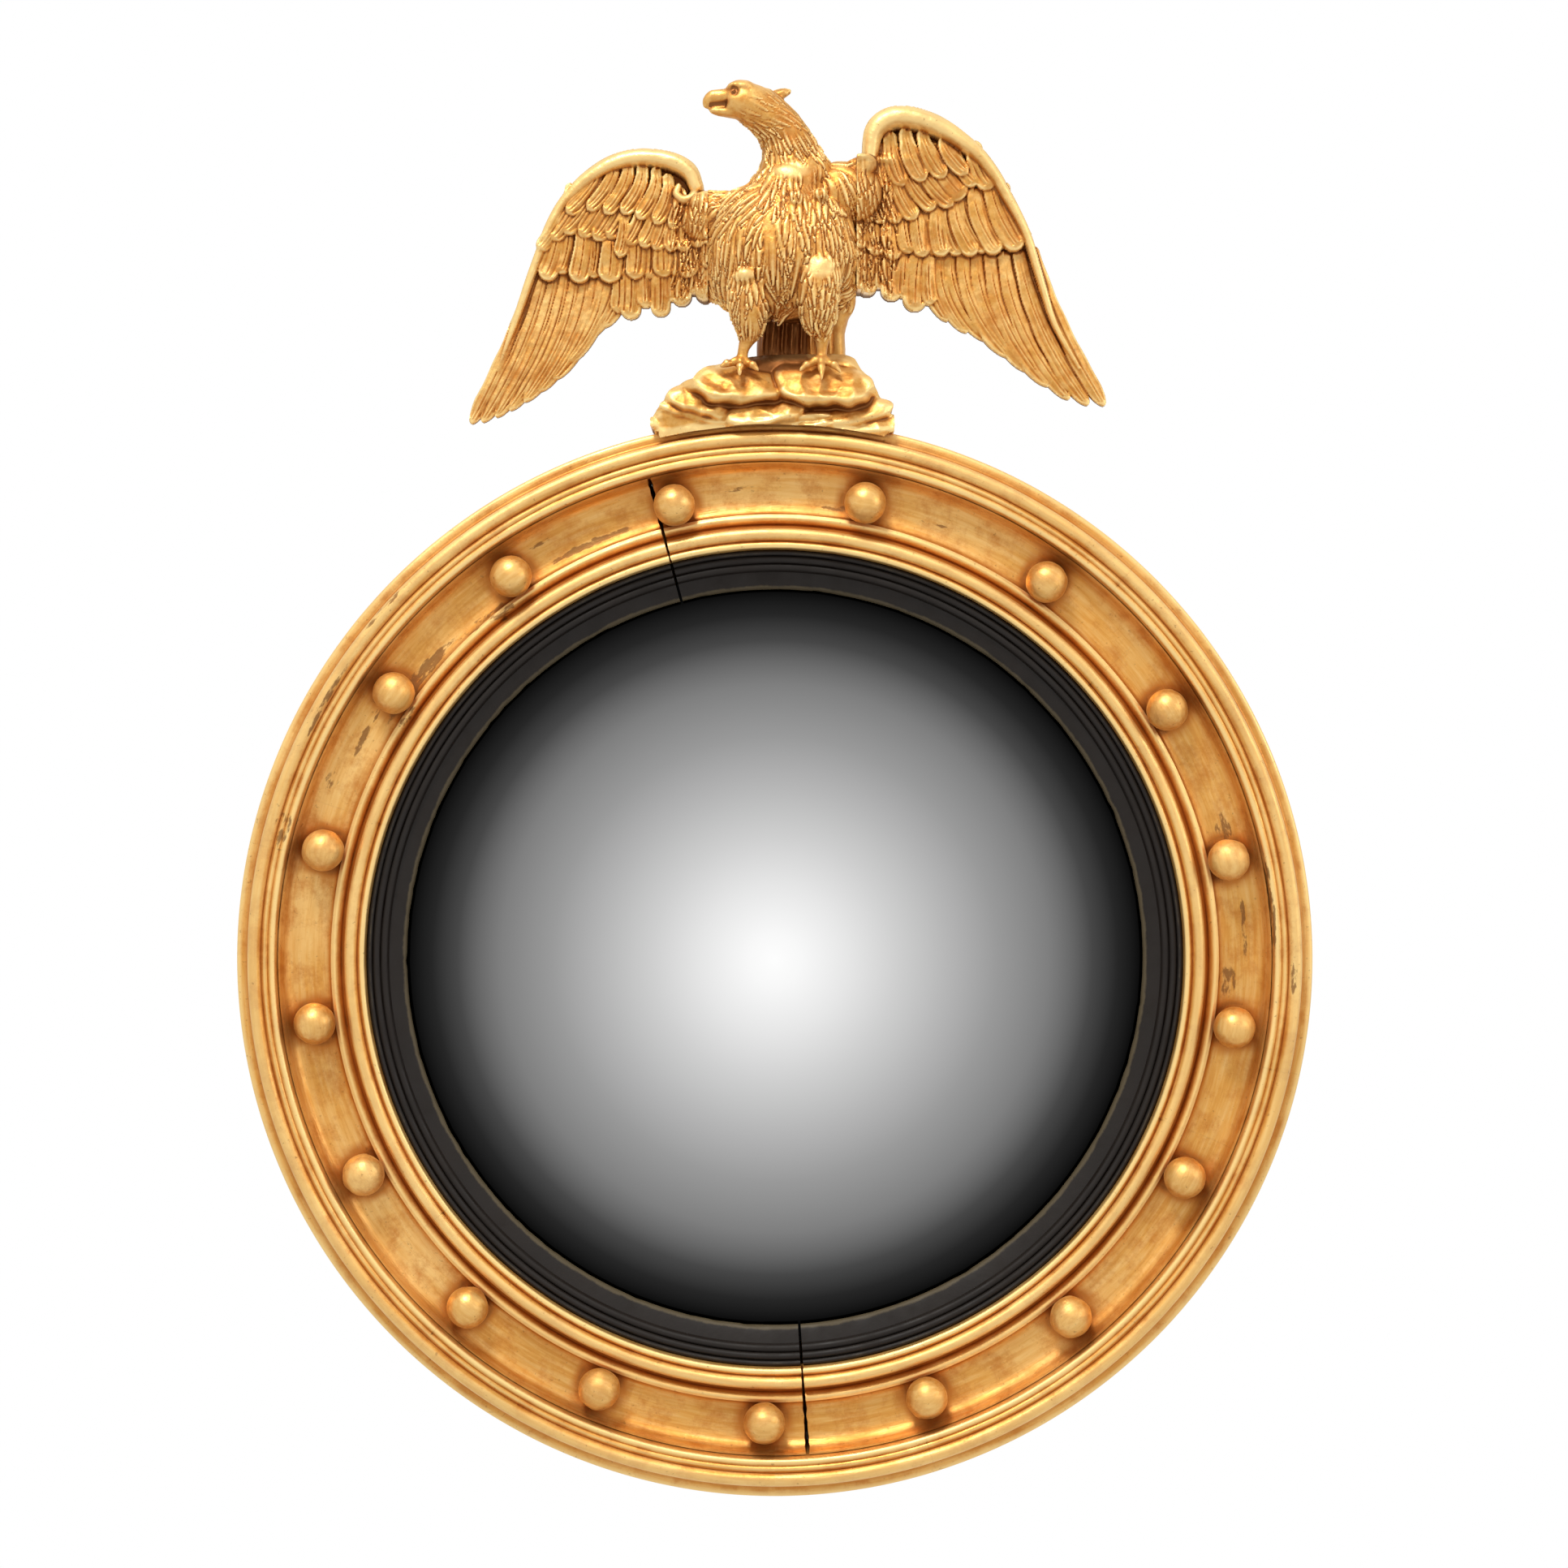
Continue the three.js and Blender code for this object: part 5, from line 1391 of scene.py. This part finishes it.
class MIRROR_OT_wings(Operator):
    """Carves the two spread wings, feather by feather"""
    bl_idname = "mirror.wings"
    bl_label = "Wings"

    def execute(self, context):
        carve_wing("wing_left", LEFT_LAYERS, [LEFT_ROLL, LEFT_CURL], LEFT_SHOULDER, LEFT_JOINT, 100)
        carve_wing("wing_right", RIGHT_LAYERS, [RIGHT_ROLL], RIGHT_SHOULDER, RIGHT_JOINT, 500)
        return {"FINISHED"}


def plumage_flow(spots):
    """Which way the plumage lies: down the body, parted over the breast and drawn in between the legs."""
    x, z = spots[:, 0], spots[:, 2]
    flanks = -0.25 * eased_step(-x, 5, 30) + 0.4 * eased_step(x, 22, 42) * eased_step(z, 95, 120)
    breast = 1.3 * eased_step(8 - x, 0, 10) * eased_step(z, 112, 124) * eased_step(146 - z, 0, 10)
    between_legs = 0.05 * (x - 3) * eased_step(94 - z, 0, 10) * (np.abs(x - 3) < 14)
    nape = 0.5 * eased_step(z, 144, 154) * eased_step(x, -6, 6)
    lean = flanks - breast - between_legs + nape
    down = np.stack([lean, np.zeros_like(x), -np.ones_like(x)], 1)
    head = eased_step(z, 164, 174)[:, None]
    flow = down * (1 - head) + np.array([0.9, 0.0, -0.35]) * head
    return flow / np.linalg.norm(flow, axis=1)[:, None]


NECK_TOP = 160
# Places bare of plumage and given a painted highlight: knees, collar and brow, as middle x, z, half width
# and half height.
SMOOTH_HIGHLIGHTS = ((-17, 80.5, 4.5, 3.5), (26, 84, 8, 5.5), (9, 142, 10, 4.5), (-18, 190, 12, 6))


def smooth_highlight_places(spots):
    """How far each spot is a smooth place with a painted highlight, from 0 to 1."""
    x, y, z = spots.T
    bright = np.zeros(len(x))
    for middle_x, middle_z, across, upright in SMOOTH_HIGHLIGHTS:
        reach = np.hypot((x - middle_x) / across, (z - middle_z) / upright)
        bright += eased_step(1.5 - reach, 0, 0.9) * (y < -25)
    return bright


def plain_places(spots):
    """How bare of plumage each spot is, from 0 to 1."""
    x, y, z = spots.T
    shanks = eased_step(47 - z, 0, 6)
    beak = eased_step(-x, 18, 25) * (z > 168)
    head = 0.55 * eased_step(z, NECK_TOP, 172)
    tail = eased_step(y, -36, -30) * eased_step(66 - z, 0, 5)
    behind = y > -14
    return np.clip(shanks + beak + head + smooth_highlight_places(spots) + (tail + behind), 0, 1)


def lay_plumage(piece, count, seed):
    """How far each corner of the skin is lifted by overlapping tufts."""
    corners, normals = corners_of(piece) - CREST_STEP, normals_of(piece)
    rng = np.random.default_rng(seed)
    covered = np.flatnonzero((corners[:, 2] > 40) & (corners[:, 1] < -10))
    picks = rng.choice(covered, count, replace=False)
    picks = picks[np.argsort(corners[picks, 2])]
    flows = plumage_flow(corners[picks])
    order = np.argsort(corners[:, 2])
    heights = corners[order, 2]
    lift = np.zeros(len(corners))
    for pick, flow in zip(picks, flows):
        spot = corners[pick]
        on_neck, on_thigh = spot[2] > 150, spot[2] < 78 and spot[1] < -48
        small = 0.65 if on_neck else 0.75 if on_thigh else 1.0
        length, half = small * rng.uniform(13, 27), max(0.9, small * rng.uniform(1.1, 2.0))
        flow = flow + rng.normal(scale=0.07, size=3)
        flow -= normals[pick] * (flow @ normals[pick])
        flow /= max(np.linalg.norm(flow), 1e-6)
        ends = sorted((spot[2], spot[2] + flow[2] * length))
        near = order[slice(*np.searchsorted(heights, [ends[0] - 4, ends[1] + 4]))]
        offset = corners[near] - spot
        close = ((offset**2).sum(1) < (1.25 * length) ** 2) & (normals[near] @ normals[pick] > 0.1)
        near, offset = near[close], offset[close]
        fresh = leaf_lift(offset @ flow / length, offset @ np.cross(flow, normals[pick]), half)
        there = np.isfinite(fresh)
        lift[near[there]] = lay_over(lift[near[there]], fresh[there])
    lift *= 1 - plain_places(corners)
    # A ring is cut round each eye.
    for side in (-1, 1):
        away = np.linalg.norm(corners - [-23.4, -50 + 9 * side, 186.6], axis=1)
        lift -= 1.1 * np.exp(-(((away - 1.6) / 1.3) ** 2))
    return lift


def shaded_places(spots):
    """Painted shade in the mouth, round the eyes and over the tail between the legs."""
    x, y, z = spots.T
    mouth = np.exp(-((np.abs(z - 180.6 - 0.1 * (x + 32)) / 1.5) ** 4)) * eased_step(-x, 25, 28) * (x > -37.5)
    eye = np.exp(-((np.hypot(x + 23.4, z - 186.8) / 2.4) ** 2)) * (z > 180)
    tail = eased_step(y, -50, -38) * eased_step(70 - z, 0, 12) * eased_step(20 - np.abs(x - 3), 0, 6)
    return np.clip(mouth * (z > 170) + eye + tail, 0, 1)


def eagle_forms():
    """The trunk, neck, head, legs, feet and tail as overlapping tapered masses.

    Stations run along each mass as x, y, z above the crest's foot, half width and half depth.
    """
    trunk = [
        (5, -38, 150, 6, 8), (5, -38, 143, 16, 16), (5, -38, 134, 23.5, 21.5), (4.5, -38, 126, 36, 26),
        (4, -39, 111, 43, 30), (4, -40, 92, 45, 31), (6, -38, 80, 42.5, 27), (8, -34, 71, 34, 20),
        (9, -29, 64, 24, 11), (9, -27, 59, 8, 5),
    ]
    neck = [
        (14, -38, 130, 12, 12), (13, -38, 138, 22, 18.5), (10.5, -38, 148, 20, 16.5),
        (8.5, -39, 156, 16.6, 15), (5.5, -40, 163.5, 14.6, 14), (0.5, -43, 170.5, 13.6, 13.2),
        (-7.5, -46, 177.5, 13, 12.4), (-16, -49, 181.6, 12, 11.4), (-23, -50, 183, 10, 9.8),
        (-28, -50, 183.5, 6, 6),
    ]
    upper_beak = [
        (-22, -50, 185.2, 4.6, 6.6), (-27, -50, 185.1, 4.7, 5.8), (-32, -50, 184.9, 4.6, 4.9),
        (-36, -50, 184.4, 4.5, 4.1), (-38.6, -50, 182.4, 3.4, 3.3), (-39.4, -50, 180, 2.4, 2.3),
        (-38.9, -50, 177.6, 0.9, 0.9),
    ]
    lower_beak = [
        (-19, -49.5, 176.2, 5, 6.4), (-26, -50, 176, 3.4, 5.2), (-32, -50, 176.3, 2.6, 4),
        (-36.4, -50, 177.2, 1.8, 2.6), (-38, -50, 177.6, 0.8, 1),
    ]
    crest = [
        (-6, -43, 180, 5, 6), (-1, -42, 185, 4.6, 5.4), (3.5, -42, 188, 3.4, 4),
        (7.5, -41.5, 189.6, 2.2, 2.8), (10, -41, 190.6, 0.8, 1),
    ]
    left_thigh = [
        (-15, -46, 94, 5, 5), (-16, -52, 85, 11, 11), (-15.5, -56, 74, 12.4, 12.2),
        (-15, -57.5, 61, 11.4, 11), (-14.5, -56, 51, 8.8, 8.4), (-16, -55, 44.5, 5, 5),
        (-18, -55, 39, 3.5, 3.6), (-19, -55, 31, 3.4, 3.4), (-19, -55, 27, 2.4, 2.4),
    ]
    right_thigh = [
        (20, -47, 102, 5, 5), (23, -54, 92, 11, 11), (25, -59, 81, 12.4, 12.2), (24.5, -59, 67, 12, 11.4),
        (25.5, -56, 54, 9.4, 8.6), (27, -54, 46, 5.2, 5), (27, -54, 40, 3.4, 3.5),
        (26.5, -54.5, 31, 3.3, 3.3), (26.5, -55, 27, 2.4, 2.4),
    ]
    masses = [
        ellipsoid(-18.5, -50, 190, (8.6, 9.6, 4.6), tilt=-4),
        ellipsoid(-8.5, -47, 185.5, (9, 9, 5.6), tilt=2),
        ellipsoid(-24.5, -50, 190.6, (3.8, 8.8, 2.4), tilt=25),
        ellipsoid(-23.4, -58.4, 186.4, (1.9, 1.5, 1.7)),
        ellipsoid(-20, -57, 181.4, (7.4, 2.4, 1.7), tilt=-6), ellipsoid(-30, -50, 180, (8, 2.4, 3)),
        ellipsoid(19, -36, 137, (17, 16, 17)), ellipsoid(-30, -32, 115.5, (20, 20, 18.5)),
        ellipsoid(38, -33, 131, (24, 20, 19.6)), ellipsoid(48, -38, 146, (10.5, 9, 6.6), tilt=24),
        ellipsoid(-40, -36, 128, (9, 7, 5), tilt=20), ellipsoid(10, -49, 138, (15, 9.5, 9.5), tilt=-10),
        ellipsoid(12, -64, 124, (4.4, 4, 5), tilt=-15), ellipsoid(25.5, -60, 127, (5.5, 4, 3.6)),
        ellipsoid(-17, -66, 80, (6.4, 5, 5), tilt=12), ellipsoid(26, -66, 84, (9.6, 5, 7), tilt=28),
        ellipsoid(39.5, -32, 82, (10, 15, 13)), ellipsoid(-32, -28, 81, (9.5, 13, 12)),
        ellipsoid(-40, -24, 76, (9, 5, 6)),
    ]
    strands = [
        loft([
            (3 + 13 * side, -56, 84, 2, 2.4), (3 + 10 * side, -56, 76, 3, 3.4),
            (3 + 6.5 * side, -52, 66, 3, 3.2), (3 + 4.6 * side, -47, 58 + 4 * abs(side), 2, 2.2),
            (3 + 4 * side, -45, 53 + 6 * abs(side), 0.9, 1),
        ], 14, 1.5)
        for side in (-1, -0.55, -0.1, 0.35, 0.8, 1.2)
    ]
    flank = [
        (37, -28, 84, 8, 12), (38.5, -26, 71, 8.2, 10), (37, -24, 61, 6, 8), (36.3, -22, 51, 4.6, 7),
        (36.8, -22, 39, 4.8, 7), (38, -22, 33.5, 4.4, 6),
    ]
    lines = (trunk, neck, upper_beak, lower_beak, crest, left_thigh, right_thigh, flank)
    return [*map(loft, lines), *masses, *strands, *feet(), *tail_feathers()]


# Each foot: x, depth and z of its ankle, and how far its three toes reach across, forward and down.
FEET = (
    (-19.5, -55, 31.5, [(-12, 5, -3), (-0.5, 10.5, -8), (10.5, 6, -5)]),
    (26.5, -55, 32, [(-12.5, 5.5, -5.5), (0.3, 12, -11), (11.5, 6, -6.5)]),
)
# The knuckles along a toe: part of its reach, rise, part of its drop and thickness.
KNUCKLES = (
    (0.25, 1.0, 0.05, 3.1), (0.45, 0.4, 0.25, 2.3), (0.66, 0.7, 0.45, 2.8), (0.8, 0.2, 0.65, 1.9),
    (0.9, 0.2, 0.85, 1.6), (1.0, -0.4, 1.08, 0.6),
)


def feet():
    """Three toes forward on each foot, jointed and clawed."""
    forms = []
    for x, y, z, reaches in FEET:
        forms.append(ellipsoid(x, y, z + 0.5, (4.4, 4.6, 3.8)))
        for dx, dy, dz in reaches:
            toe = [(x, y, z, 2.8, 2.8)]
            for part, rise, drop, size in KNUCKLES:
                toe.append((x + dx * part, y - dy * part, z + dz * drop + rise, size, size))
            forms.append(loft(toe, 16, 0.8, (0.2, 0, 1)))
    return forms


def tail_feathers():
    """A broad tail of long feathers behind the legs, each with a raised quill."""
    forms = []
    for i, x in enumerate(np.linspace(-7, 37.5, 9)):
        lap = 1.2 * (i % 2)
        forms.append(loft([
            (x * 0.8 + 6, -20, 88, 2, 3), (x * 0.93 + 2, -20 - lap, 68, 3.4, 6), (x, -20 - lap, 48, 3.7, 7),
            (x, -20 - lap, 37.5, 3.6, 6), (x, -19, 34, 1.6, 2),
        ], 20, 1.2))
        forms.append(loft([
            (x * 0.8 + 6, -25, 84, 0.5, 1), (x * 0.93 + 2, -26.2 - lap, 66, 0.9, 1.6),
            (x, -27.2 - lap, 48, 0.9, 1.5), (x, -26.2 - lap, 38, 0.6, 0.8),
        ], 12, 1.2))
    return forms


class MIRROR_OT_eagle(Operator):
    """Carves the eagle's trunk, head, legs and tail in one block"""
    bl_idname = "mirror.eagle"
    bl_label = "Eagle"

    def execute(self, context):
        sizes = context.scene.mirror_sizes
        corners, faces = gathered(eagle_forms())
        piece = add_piece("carved_eagle_body", corners + CREST_STEP, faces, ["eagle_body"])
        carve_as_one(piece, sizes.carving_voxel / MM, 2)
        lift = lay_plumage(piece, sizes.tuft_count, 7)
        # Tufts, the carver's unevenness, and the skin drawn in a little to leave room for them.
        skin = corners_of(piece)
        skin += normals_of(piece) * (lift + 0.12 * soft_noise(skin, 8, 5) - 0.3)[:, None]
        below_head = skin[:, 2] - CREST_FOOT < NECK_TOP
        between_wings = np.clip(skin[:, 0], LEFT_JOINT + JOINT_PLAY, RIGHT_JOINT - JOINT_PLAY)
        skin[:, 0] = np.where(below_head, between_wings, skin[:, 0])
        skin[:, 1] = np.clip(skin[:, 1], low("eagle_body")[1], -CREST_REAR)
        set_corners(piece, skin)
        spots = skin - CREST_STEP
        shaded = shaded_places(spots)
        mark_relief(piece, 3, 24, 0.5, lift, shaded)
        to_joint = np.minimum(np.abs(skin[:, 0] - LEFT_JOINT), np.abs(skin[:, 0] - RIGHT_JOINT))
        away_from_joint = eased_step(to_joint, 0.5, 4) + (skin[:, 2] - CREST_FOOT > NECK_TOP)
        # A painted highlight on the knees, collar and brow is added to the raised mark.
        painted_highlight = 0.55 * smooth_highlight_places(spots) * below_head
        fade_number(piece, "raised", away_from_joint * (1 - shaded), painted_highlight)
        keep_number(piece, "bare", eased_step(skin[:, 1], *BODY_BARE))
        finish_carving(piece, 9, 80)
        return {"FINISHED"}


# The stones, hindmost first: middle x and z, half width, half height, tilt, and how far the lower lip and
# the top stand off the wall.
STONES = [
    (50, -3, 24, 6.5, 2, 54.5, 50), (-50, -4, 27, 5, -7, 53, 50), (-43, 3.5, 26, 5, -13, 55, 52),
    (40, 4, 28, 8.5, 7, 56.5, 49), (-44, 10, 19, 8, -17, 59, 50), (24, -2.5, 10, 3.2, 5, 59.5, 57),
    (22, 1.6, 9, 2.8, 2, 60.5, 58), (-7, 3.6, 24, 8.8, 9, 60.5, 53), (28, 20, 27.5, 13, -3, 64.5, 49),
    (-20.5, 20, 25.5, 11.6, -4, 64, 49),
]
# The block behind them, from its foot on the left round to its foot on the right, as x and z.
ROCK_BLOCK = [
    (-68, -14), (-70, 2), (-65, 8), (-60, 17), (-50, 22.5), (-44, 23), (-39.5, 28.5), (-32, 32.5), (-24, 35),
    (-8, 37.5), (20, 38.5), (43, 37.5), (49, 30.5), (55.5, 21), (61, 12.5), (66, 3.5), (65.5, -14),
]


def lay_stone(relief, stone, seed):
    """One stone as a split slab: its top leans back into the block and its lower lip overhangs the next."""
    x, z, half_width, half_height, tilt, lip, top = stone
    a = math.radians(tilt)
    gx, gz = relief.x - x, relief.z - z
    spots = np.stack([gx, gz, gx * 0 + 60 * seed], -1).reshape(-1, 3)
    bend = 0.13 * soft_noise(spots, 20, seed, 2).reshape(gx.shape)
    across = (gx * math.cos(a) + gz * math.sin(a)) / half_width
    upright = (gz * math.cos(a) - gx * math.sin(a)) / half_height
    reach = (np.abs(across) ** 2.2 + np.abs(upright) ** 2.1) ** (1 / 2.15) + bend
    edge = (1 - reach) * half_height
    lean = np.clip((upright + 0.7) / 1.7, 0, 1) ** 1.1
    blunt = 3.2 + 3 * np.clip(upright, 0, 1)
    rounding = blunt * (1 - np.sqrt(1 - np.clip(1 - edge / blunt, 0, 0.985) ** 2))
    facet = 1.6 * np.abs(soft_noise(spots, 17, seed + 40, 1)).reshape(gx.shape)
    off_split = upright * half_height + 0.3 * half_height + 1.5 * np.sin(2.5 * across + seed)
    split = 0.7 * np.exp(-((off_split / 0.6) ** 2))
    split *= np.clip(1 - np.abs(across + 0.3 * math.sin(3 * seed)) * 1.5, 0, 1)
    height = lip - (lip - top) * lean - rounding - facet - split + 3.5 * np.minimum(edge, 0)
    lies_over = (edge > -2.5) & (relief.inside > 0) | (edge > 0)
    relief.height = np.where(lies_over, np.maximum(relief.height, height), relief.height)
    relief.inside = np.maximum(relief.inside, edge)


class MIRROR_OT_rocks(Operator):
    """Carves the overlapping stones that the eagle stands on"""
    bl_idname = "mirror.rocks"
    bl_label = "Rocks"

    def execute(self, context):
        outline = [tuple(point) for point in eased(ROCK_BLOCK, 3)]
        relief = Relief(np.min(outline, 0) - 2, np.max(outline, 0) + 2, GRID)
        relief.web(outline, 52)
        # The block's shoulder is rounded, and its face leans back as it rises.
        within, from_edge = relief.inside > 0, np.clip(1 - relief.inside / 9, 0, 1)
        relief.height -= 8 * (1 - np.sqrt(1 - from_edge**2)) * within
        relief.height -= np.clip(relief.z - 4, 0, None) * 0.17 * within
        for seed, stone in enumerate(STONES):
            lay_stone(relief, stone, seed)
        block = blurred(relief.inside, 1)
        x, z = relief.x, relief.z + CREST_FOOT
        spots = np.stack([x, z, x * 0], -1).reshape(-1, 3)
        uneven = 0.9 * soft_noise(spots, 18, 31, 2) + 0.2 * soft_noise(spots, 6, 35)
        relief.height += uneven.reshape(x.shape)
        solid = (relief.inside > 0).astype(float)
        softened = blurred(relief.height * solid, 1) / np.maximum(blurred(solid, 1), 1e-6)
        relief.height = np.where(solid > 0, softened, -1)
        # The block stands behind the rim moulding, and its stones hang over the moulding's front.
        radius = np.hypot(x, z)
        over_rim = radius < RIM_RADIUS + 0.5
        relief.inside = np.minimum(block, radius - (RIM_RADIUS - 3.6))
        relief.inside = np.where(over_rim, np.minimum(relief.inside, (relief.height - STONE_FRONT - 1) / 2),
                                 relief.inside)
        hollow, raised = relief.relief_marks(20)
        back = np.where(over_rim, STONE_FRONT, CREST_REAR)
        corners, faces, there = relief.solid(back)
        corners = np.clip(corners + CREST_STEP, low("rock_base"), high("rock_base"))
        piece = add_piece("carved_rock_base", corners, faces, ["rock_base"])
        behind = len(corners) - int(there.sum())
        # A painted shadow of the tail on the stones behind the feet, dark enough to reach the deep shade.
        shade_of_tail = 1.6 * np.exp(-(((relief.x - 2) / 19) ** 4)) * eased_step(relief.z, 23, 32)
        hollow = np.clip(hollow * 1.1, 0, 1) + shade_of_tail
        keep_number(piece, "hollow", np.concatenate([hollow[there], np.full(behind, 0.3)]))
        keep_number(piece, "raised", np.concatenate([raised[there], np.zeros(behind)]))
        keep_number(piece, "bare", eased_step(corners[:, 1], *ROCKS_BARE))
        finish_carving(piece, 17, 70)
        return {"FINISHED"}


# ---- Back and fittings ----

class MIRROR_OT_back(Operator):
    """Finishes the backboard, blocks, dowels, bracket and hangers"""
    bl_idname = "mirror.back"
    bl_label = "Back and fittings"

    def execute(self, context):
        colours = context.scene.mirror_colours
        pine = bare_pine("aged_boards", "X", colours)
        block = bare_pine("aged_blocks", "Z", colours)
        iron = wrought_iron(colours)
        brass = old_brass(colours)
        looks = {
            "backboard_plank": (pine, "bare_pine"), "packing_block": (block, "bare_pine"),
            "wing_dowel": (pine, "bare_pine"), "crest_bracket": (iron, "wrought_iron"),
            "bracket_screw": (iron, "wrought_iron"), "hanger_strap": (brass, "brass_fittings"),
            "d_ring": (brass, "brass_fittings"), "strap_screw": (brass, "brass_fittings"),
        }
        for name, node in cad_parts.items():
            for stem, (look, slot_name) in looks.items():
                if name.startswith(stem):
                    finish(node, look)
                    if stem in ("d_ring", "hanger_strap"):
                        smooth(node, 50)
        return {"FINISHED"}


# ---- Stage ----

# Each lamp: name, place, what it is aimed at, width in metres, power in watts and tone.
LAMPS = (
    ("key", (-0.6, -1.7, 2.7), (0, 0, 0.1), 0.9, 76, (1, 0.98, 0.94)),
    ("fill", (2.6, -1.2, 1.0), (0, 0, 0.05), 1.3, 14, (1, 1, 1)),
    ("bounce", (-0.2, -1.5, -2.1), (0, 0, -0.15), 1.2, 14, (1, 0.97, 0.92)),
)
EVEN_LIGHT = 0.42
FLOOR_REACH, FLOOR_LEVEL = 2.0, -1.1
# What the camera frames: the middle of its view, how wide it is, and where the frame's front stands.
VIEW_MIDDLE = (0.0053, 0.1005)
VIEW_WIDTH = 0.9025
FRAME_FRONT = 0.045


def area_light(name, place, target, size, power, tone):
    """One soft round lamp."""
    lamp = bpy.data.lights.new(name, "AREA")
    lamp.shape = "DISK"
    lamp.size = size
    lamp.energy = power
    lamp.color = tone
    holder = bpy.data.objects.new(name, lamp)
    holder.location = place
    holder.rotation_euler = (Vector(target) - Vector(place)).to_track_quat("-Z", "Y").to_euler()
    bpy.context.scene.collection.objects.link(holder)


def studio_world():
    """White to the camera and in reflections, a plain even level for everything else."""
    world = bpy.data.worlds.new("studio")
    world.use_nodes = True
    nodes, links = world.node_tree.nodes, world.node_tree.links
    light = nodes["Background"]
    light.inputs["Color"].default_value = (1, 1, 1, 1)
    light.inputs["Strength"].default_value = EVEN_LIGHT
    white = nodes.new("ShaderNodeBackground")
    white.inputs["Color"].default_value = (1, 1, 1, 1)
    white.inputs["Strength"].default_value = 1.0
    path = nodes.new("ShaderNodeLightPath")
    seen = nodes.new("ShaderNodeMath")
    seen.operation = "MAXIMUM"
    links.new(path.outputs["Is Camera Ray"], seen.inputs[0])
    links.new(path.outputs["Is Transmission Ray"], seen.inputs[1])
    mirrored = nodes.new("ShaderNodeMath")
    mirrored.operation = "MAXIMUM"
    links.new(seen.outputs[0], mirrored.inputs[0])
    links.new(path.outputs["Is Glossy Ray"], mirrored.inputs[1])
    choice = nodes.new("ShaderNodeMixShader")
    links.new(mirrored.outputs[0], choice.inputs[0])
    links.new(light.outputs[0], choice.inputs[1])
    links.new(white.outputs[0], choice.inputs[2])
    links.new(choice.outputs[0], nodes["World Output"].inputs["Surface"])
    bpy.context.scene.world = world


def white_in_reflections(look):
    """Lets the plate and the leaf reflect the same white from the floor as from the surround."""
    path = look.node("LightPath")
    glow = look.node("Emission", Color=(1, 1, 1, 1), Strength=1.0)
    choice = look.node("MixShader")
    mirrored = look.reckon("MAXIMUM", path.outputs["Is Glossy Ray"], path.outputs["Is Transmission Ray"])
    look.set(choice, 0, mirrored)
    look.set(choice, 1, look.shader.outputs[0])
    look.set(choice, 2, glow.outputs[0])
    look.links.new(choice.outputs[0], look.nodes["Material Output"].inputs["Surface"])


class MIRROR_OT_stage(Operator):
    """Sets the floor, the soft lights, the white surround and the camera"""
    bl_idname = "mirror.stage"
    bl_label = "Stage"

    def execute(self, context):
        scene = context.scene
        mesh = bpy.data.meshes.new("floor")
        turns = ((-1, -1), (1, -1), (1, 1), (-1, 1))
        corners = [(x * FLOOR_REACH, y * FLOOR_REACH, FLOOR_LEVEL) for x, y in turns]
        mesh.from_pydata(corners, [], [(0, 1, 2, 3)])
        floor = bpy.data.objects.new("floor", mesh)
        scene.collection.objects.link(floor)
        look = Finish("pale_floor")
        look.set(look.shader, "Base Color", rgba(scene.mirror_colours.floor))
        look.set(look.shader, "Roughness", look.grey(look.noise(3, 3), (0.3, 0.85), (0.7, 0.95)))
        white_in_reflections(look)
        floor.data.materials.append(look.material)
        studio_world()
        for lamp in LAMPS:
            area_light(*lamp)
        lens = bpy.data.cameras.new("camera")
        camera = bpy.data.objects.new("camera", lens)
        distance = scene.mirror_sizes.view_distance
        camera.location = (VIEW_MIDDLE[0], -distance - FRAME_FRONT, VIEW_MIDDLE[1])
        camera.rotation_euler = (math.pi / 2, 0, 0)
        lens.sensor_fit = "HORIZONTAL"
        lens.angle = 2 * math.atan(VIEW_WIDTH / 2 / distance)
        scene.collection.objects.link(camera)
        scene.camera = camera
        scene.view_settings.view_transform = "Standard"
        return {"FINISHED"}


# ---- Panel and running ----

class MIRROR_PT_pieces(Panel):
    """Lists the sizes, the colours and a button for each group of pieces."""
    bl_idname = "MIRROR_PT_pieces"
    bl_label = "Girandole mirror"
    bl_space_type = "VIEW_3D"
    bl_region_type = "UI"
    bl_category = "Mirror"

    def draw(self, context):
        for group in (context.scene.mirror_sizes, context.scene.mirror_colours):
            for name in group.__annotations__:
                self.layout.prop(group, name)
        for operator in PIECES:
            self.layout.operator(operator.bl_idname)


PIECES = (
    MIRROR_OT_stage, MIRROR_OT_rim, MIRROR_OT_felloes, MIRROR_OT_slip, MIRROR_OT_balls, MIRROR_OT_plate,
    MIRROR_OT_rocks, MIRROR_OT_eagle, MIRROR_OT_wings, MIRROR_OT_back,
)
CLASSES = (MirrorSizes, MirrorColours, *PIECES, MIRROR_PT_pieces)


def register():
    for cls in CLASSES:
        bpy.utils.register_class(cls)
    bpy.types.Scene.mirror_sizes = PointerProperty(type=MirrorSizes)
    bpy.types.Scene.mirror_colours = PointerProperty(type=MirrorColours)


def unregister():
    del bpy.types.Scene.mirror_colours
    del bpy.types.Scene.mirror_sizes
    for cls in reversed(CLASSES):
        bpy.utils.unregister_class(cls)


def main():
    """Makes every piece in order."""
    register()
    for operator in PIECES:
        group, name = operator.bl_idname.split(".")
        getattr(getattr(bpy.ops, group), name)()


if __name__ == "__main__":
    main()
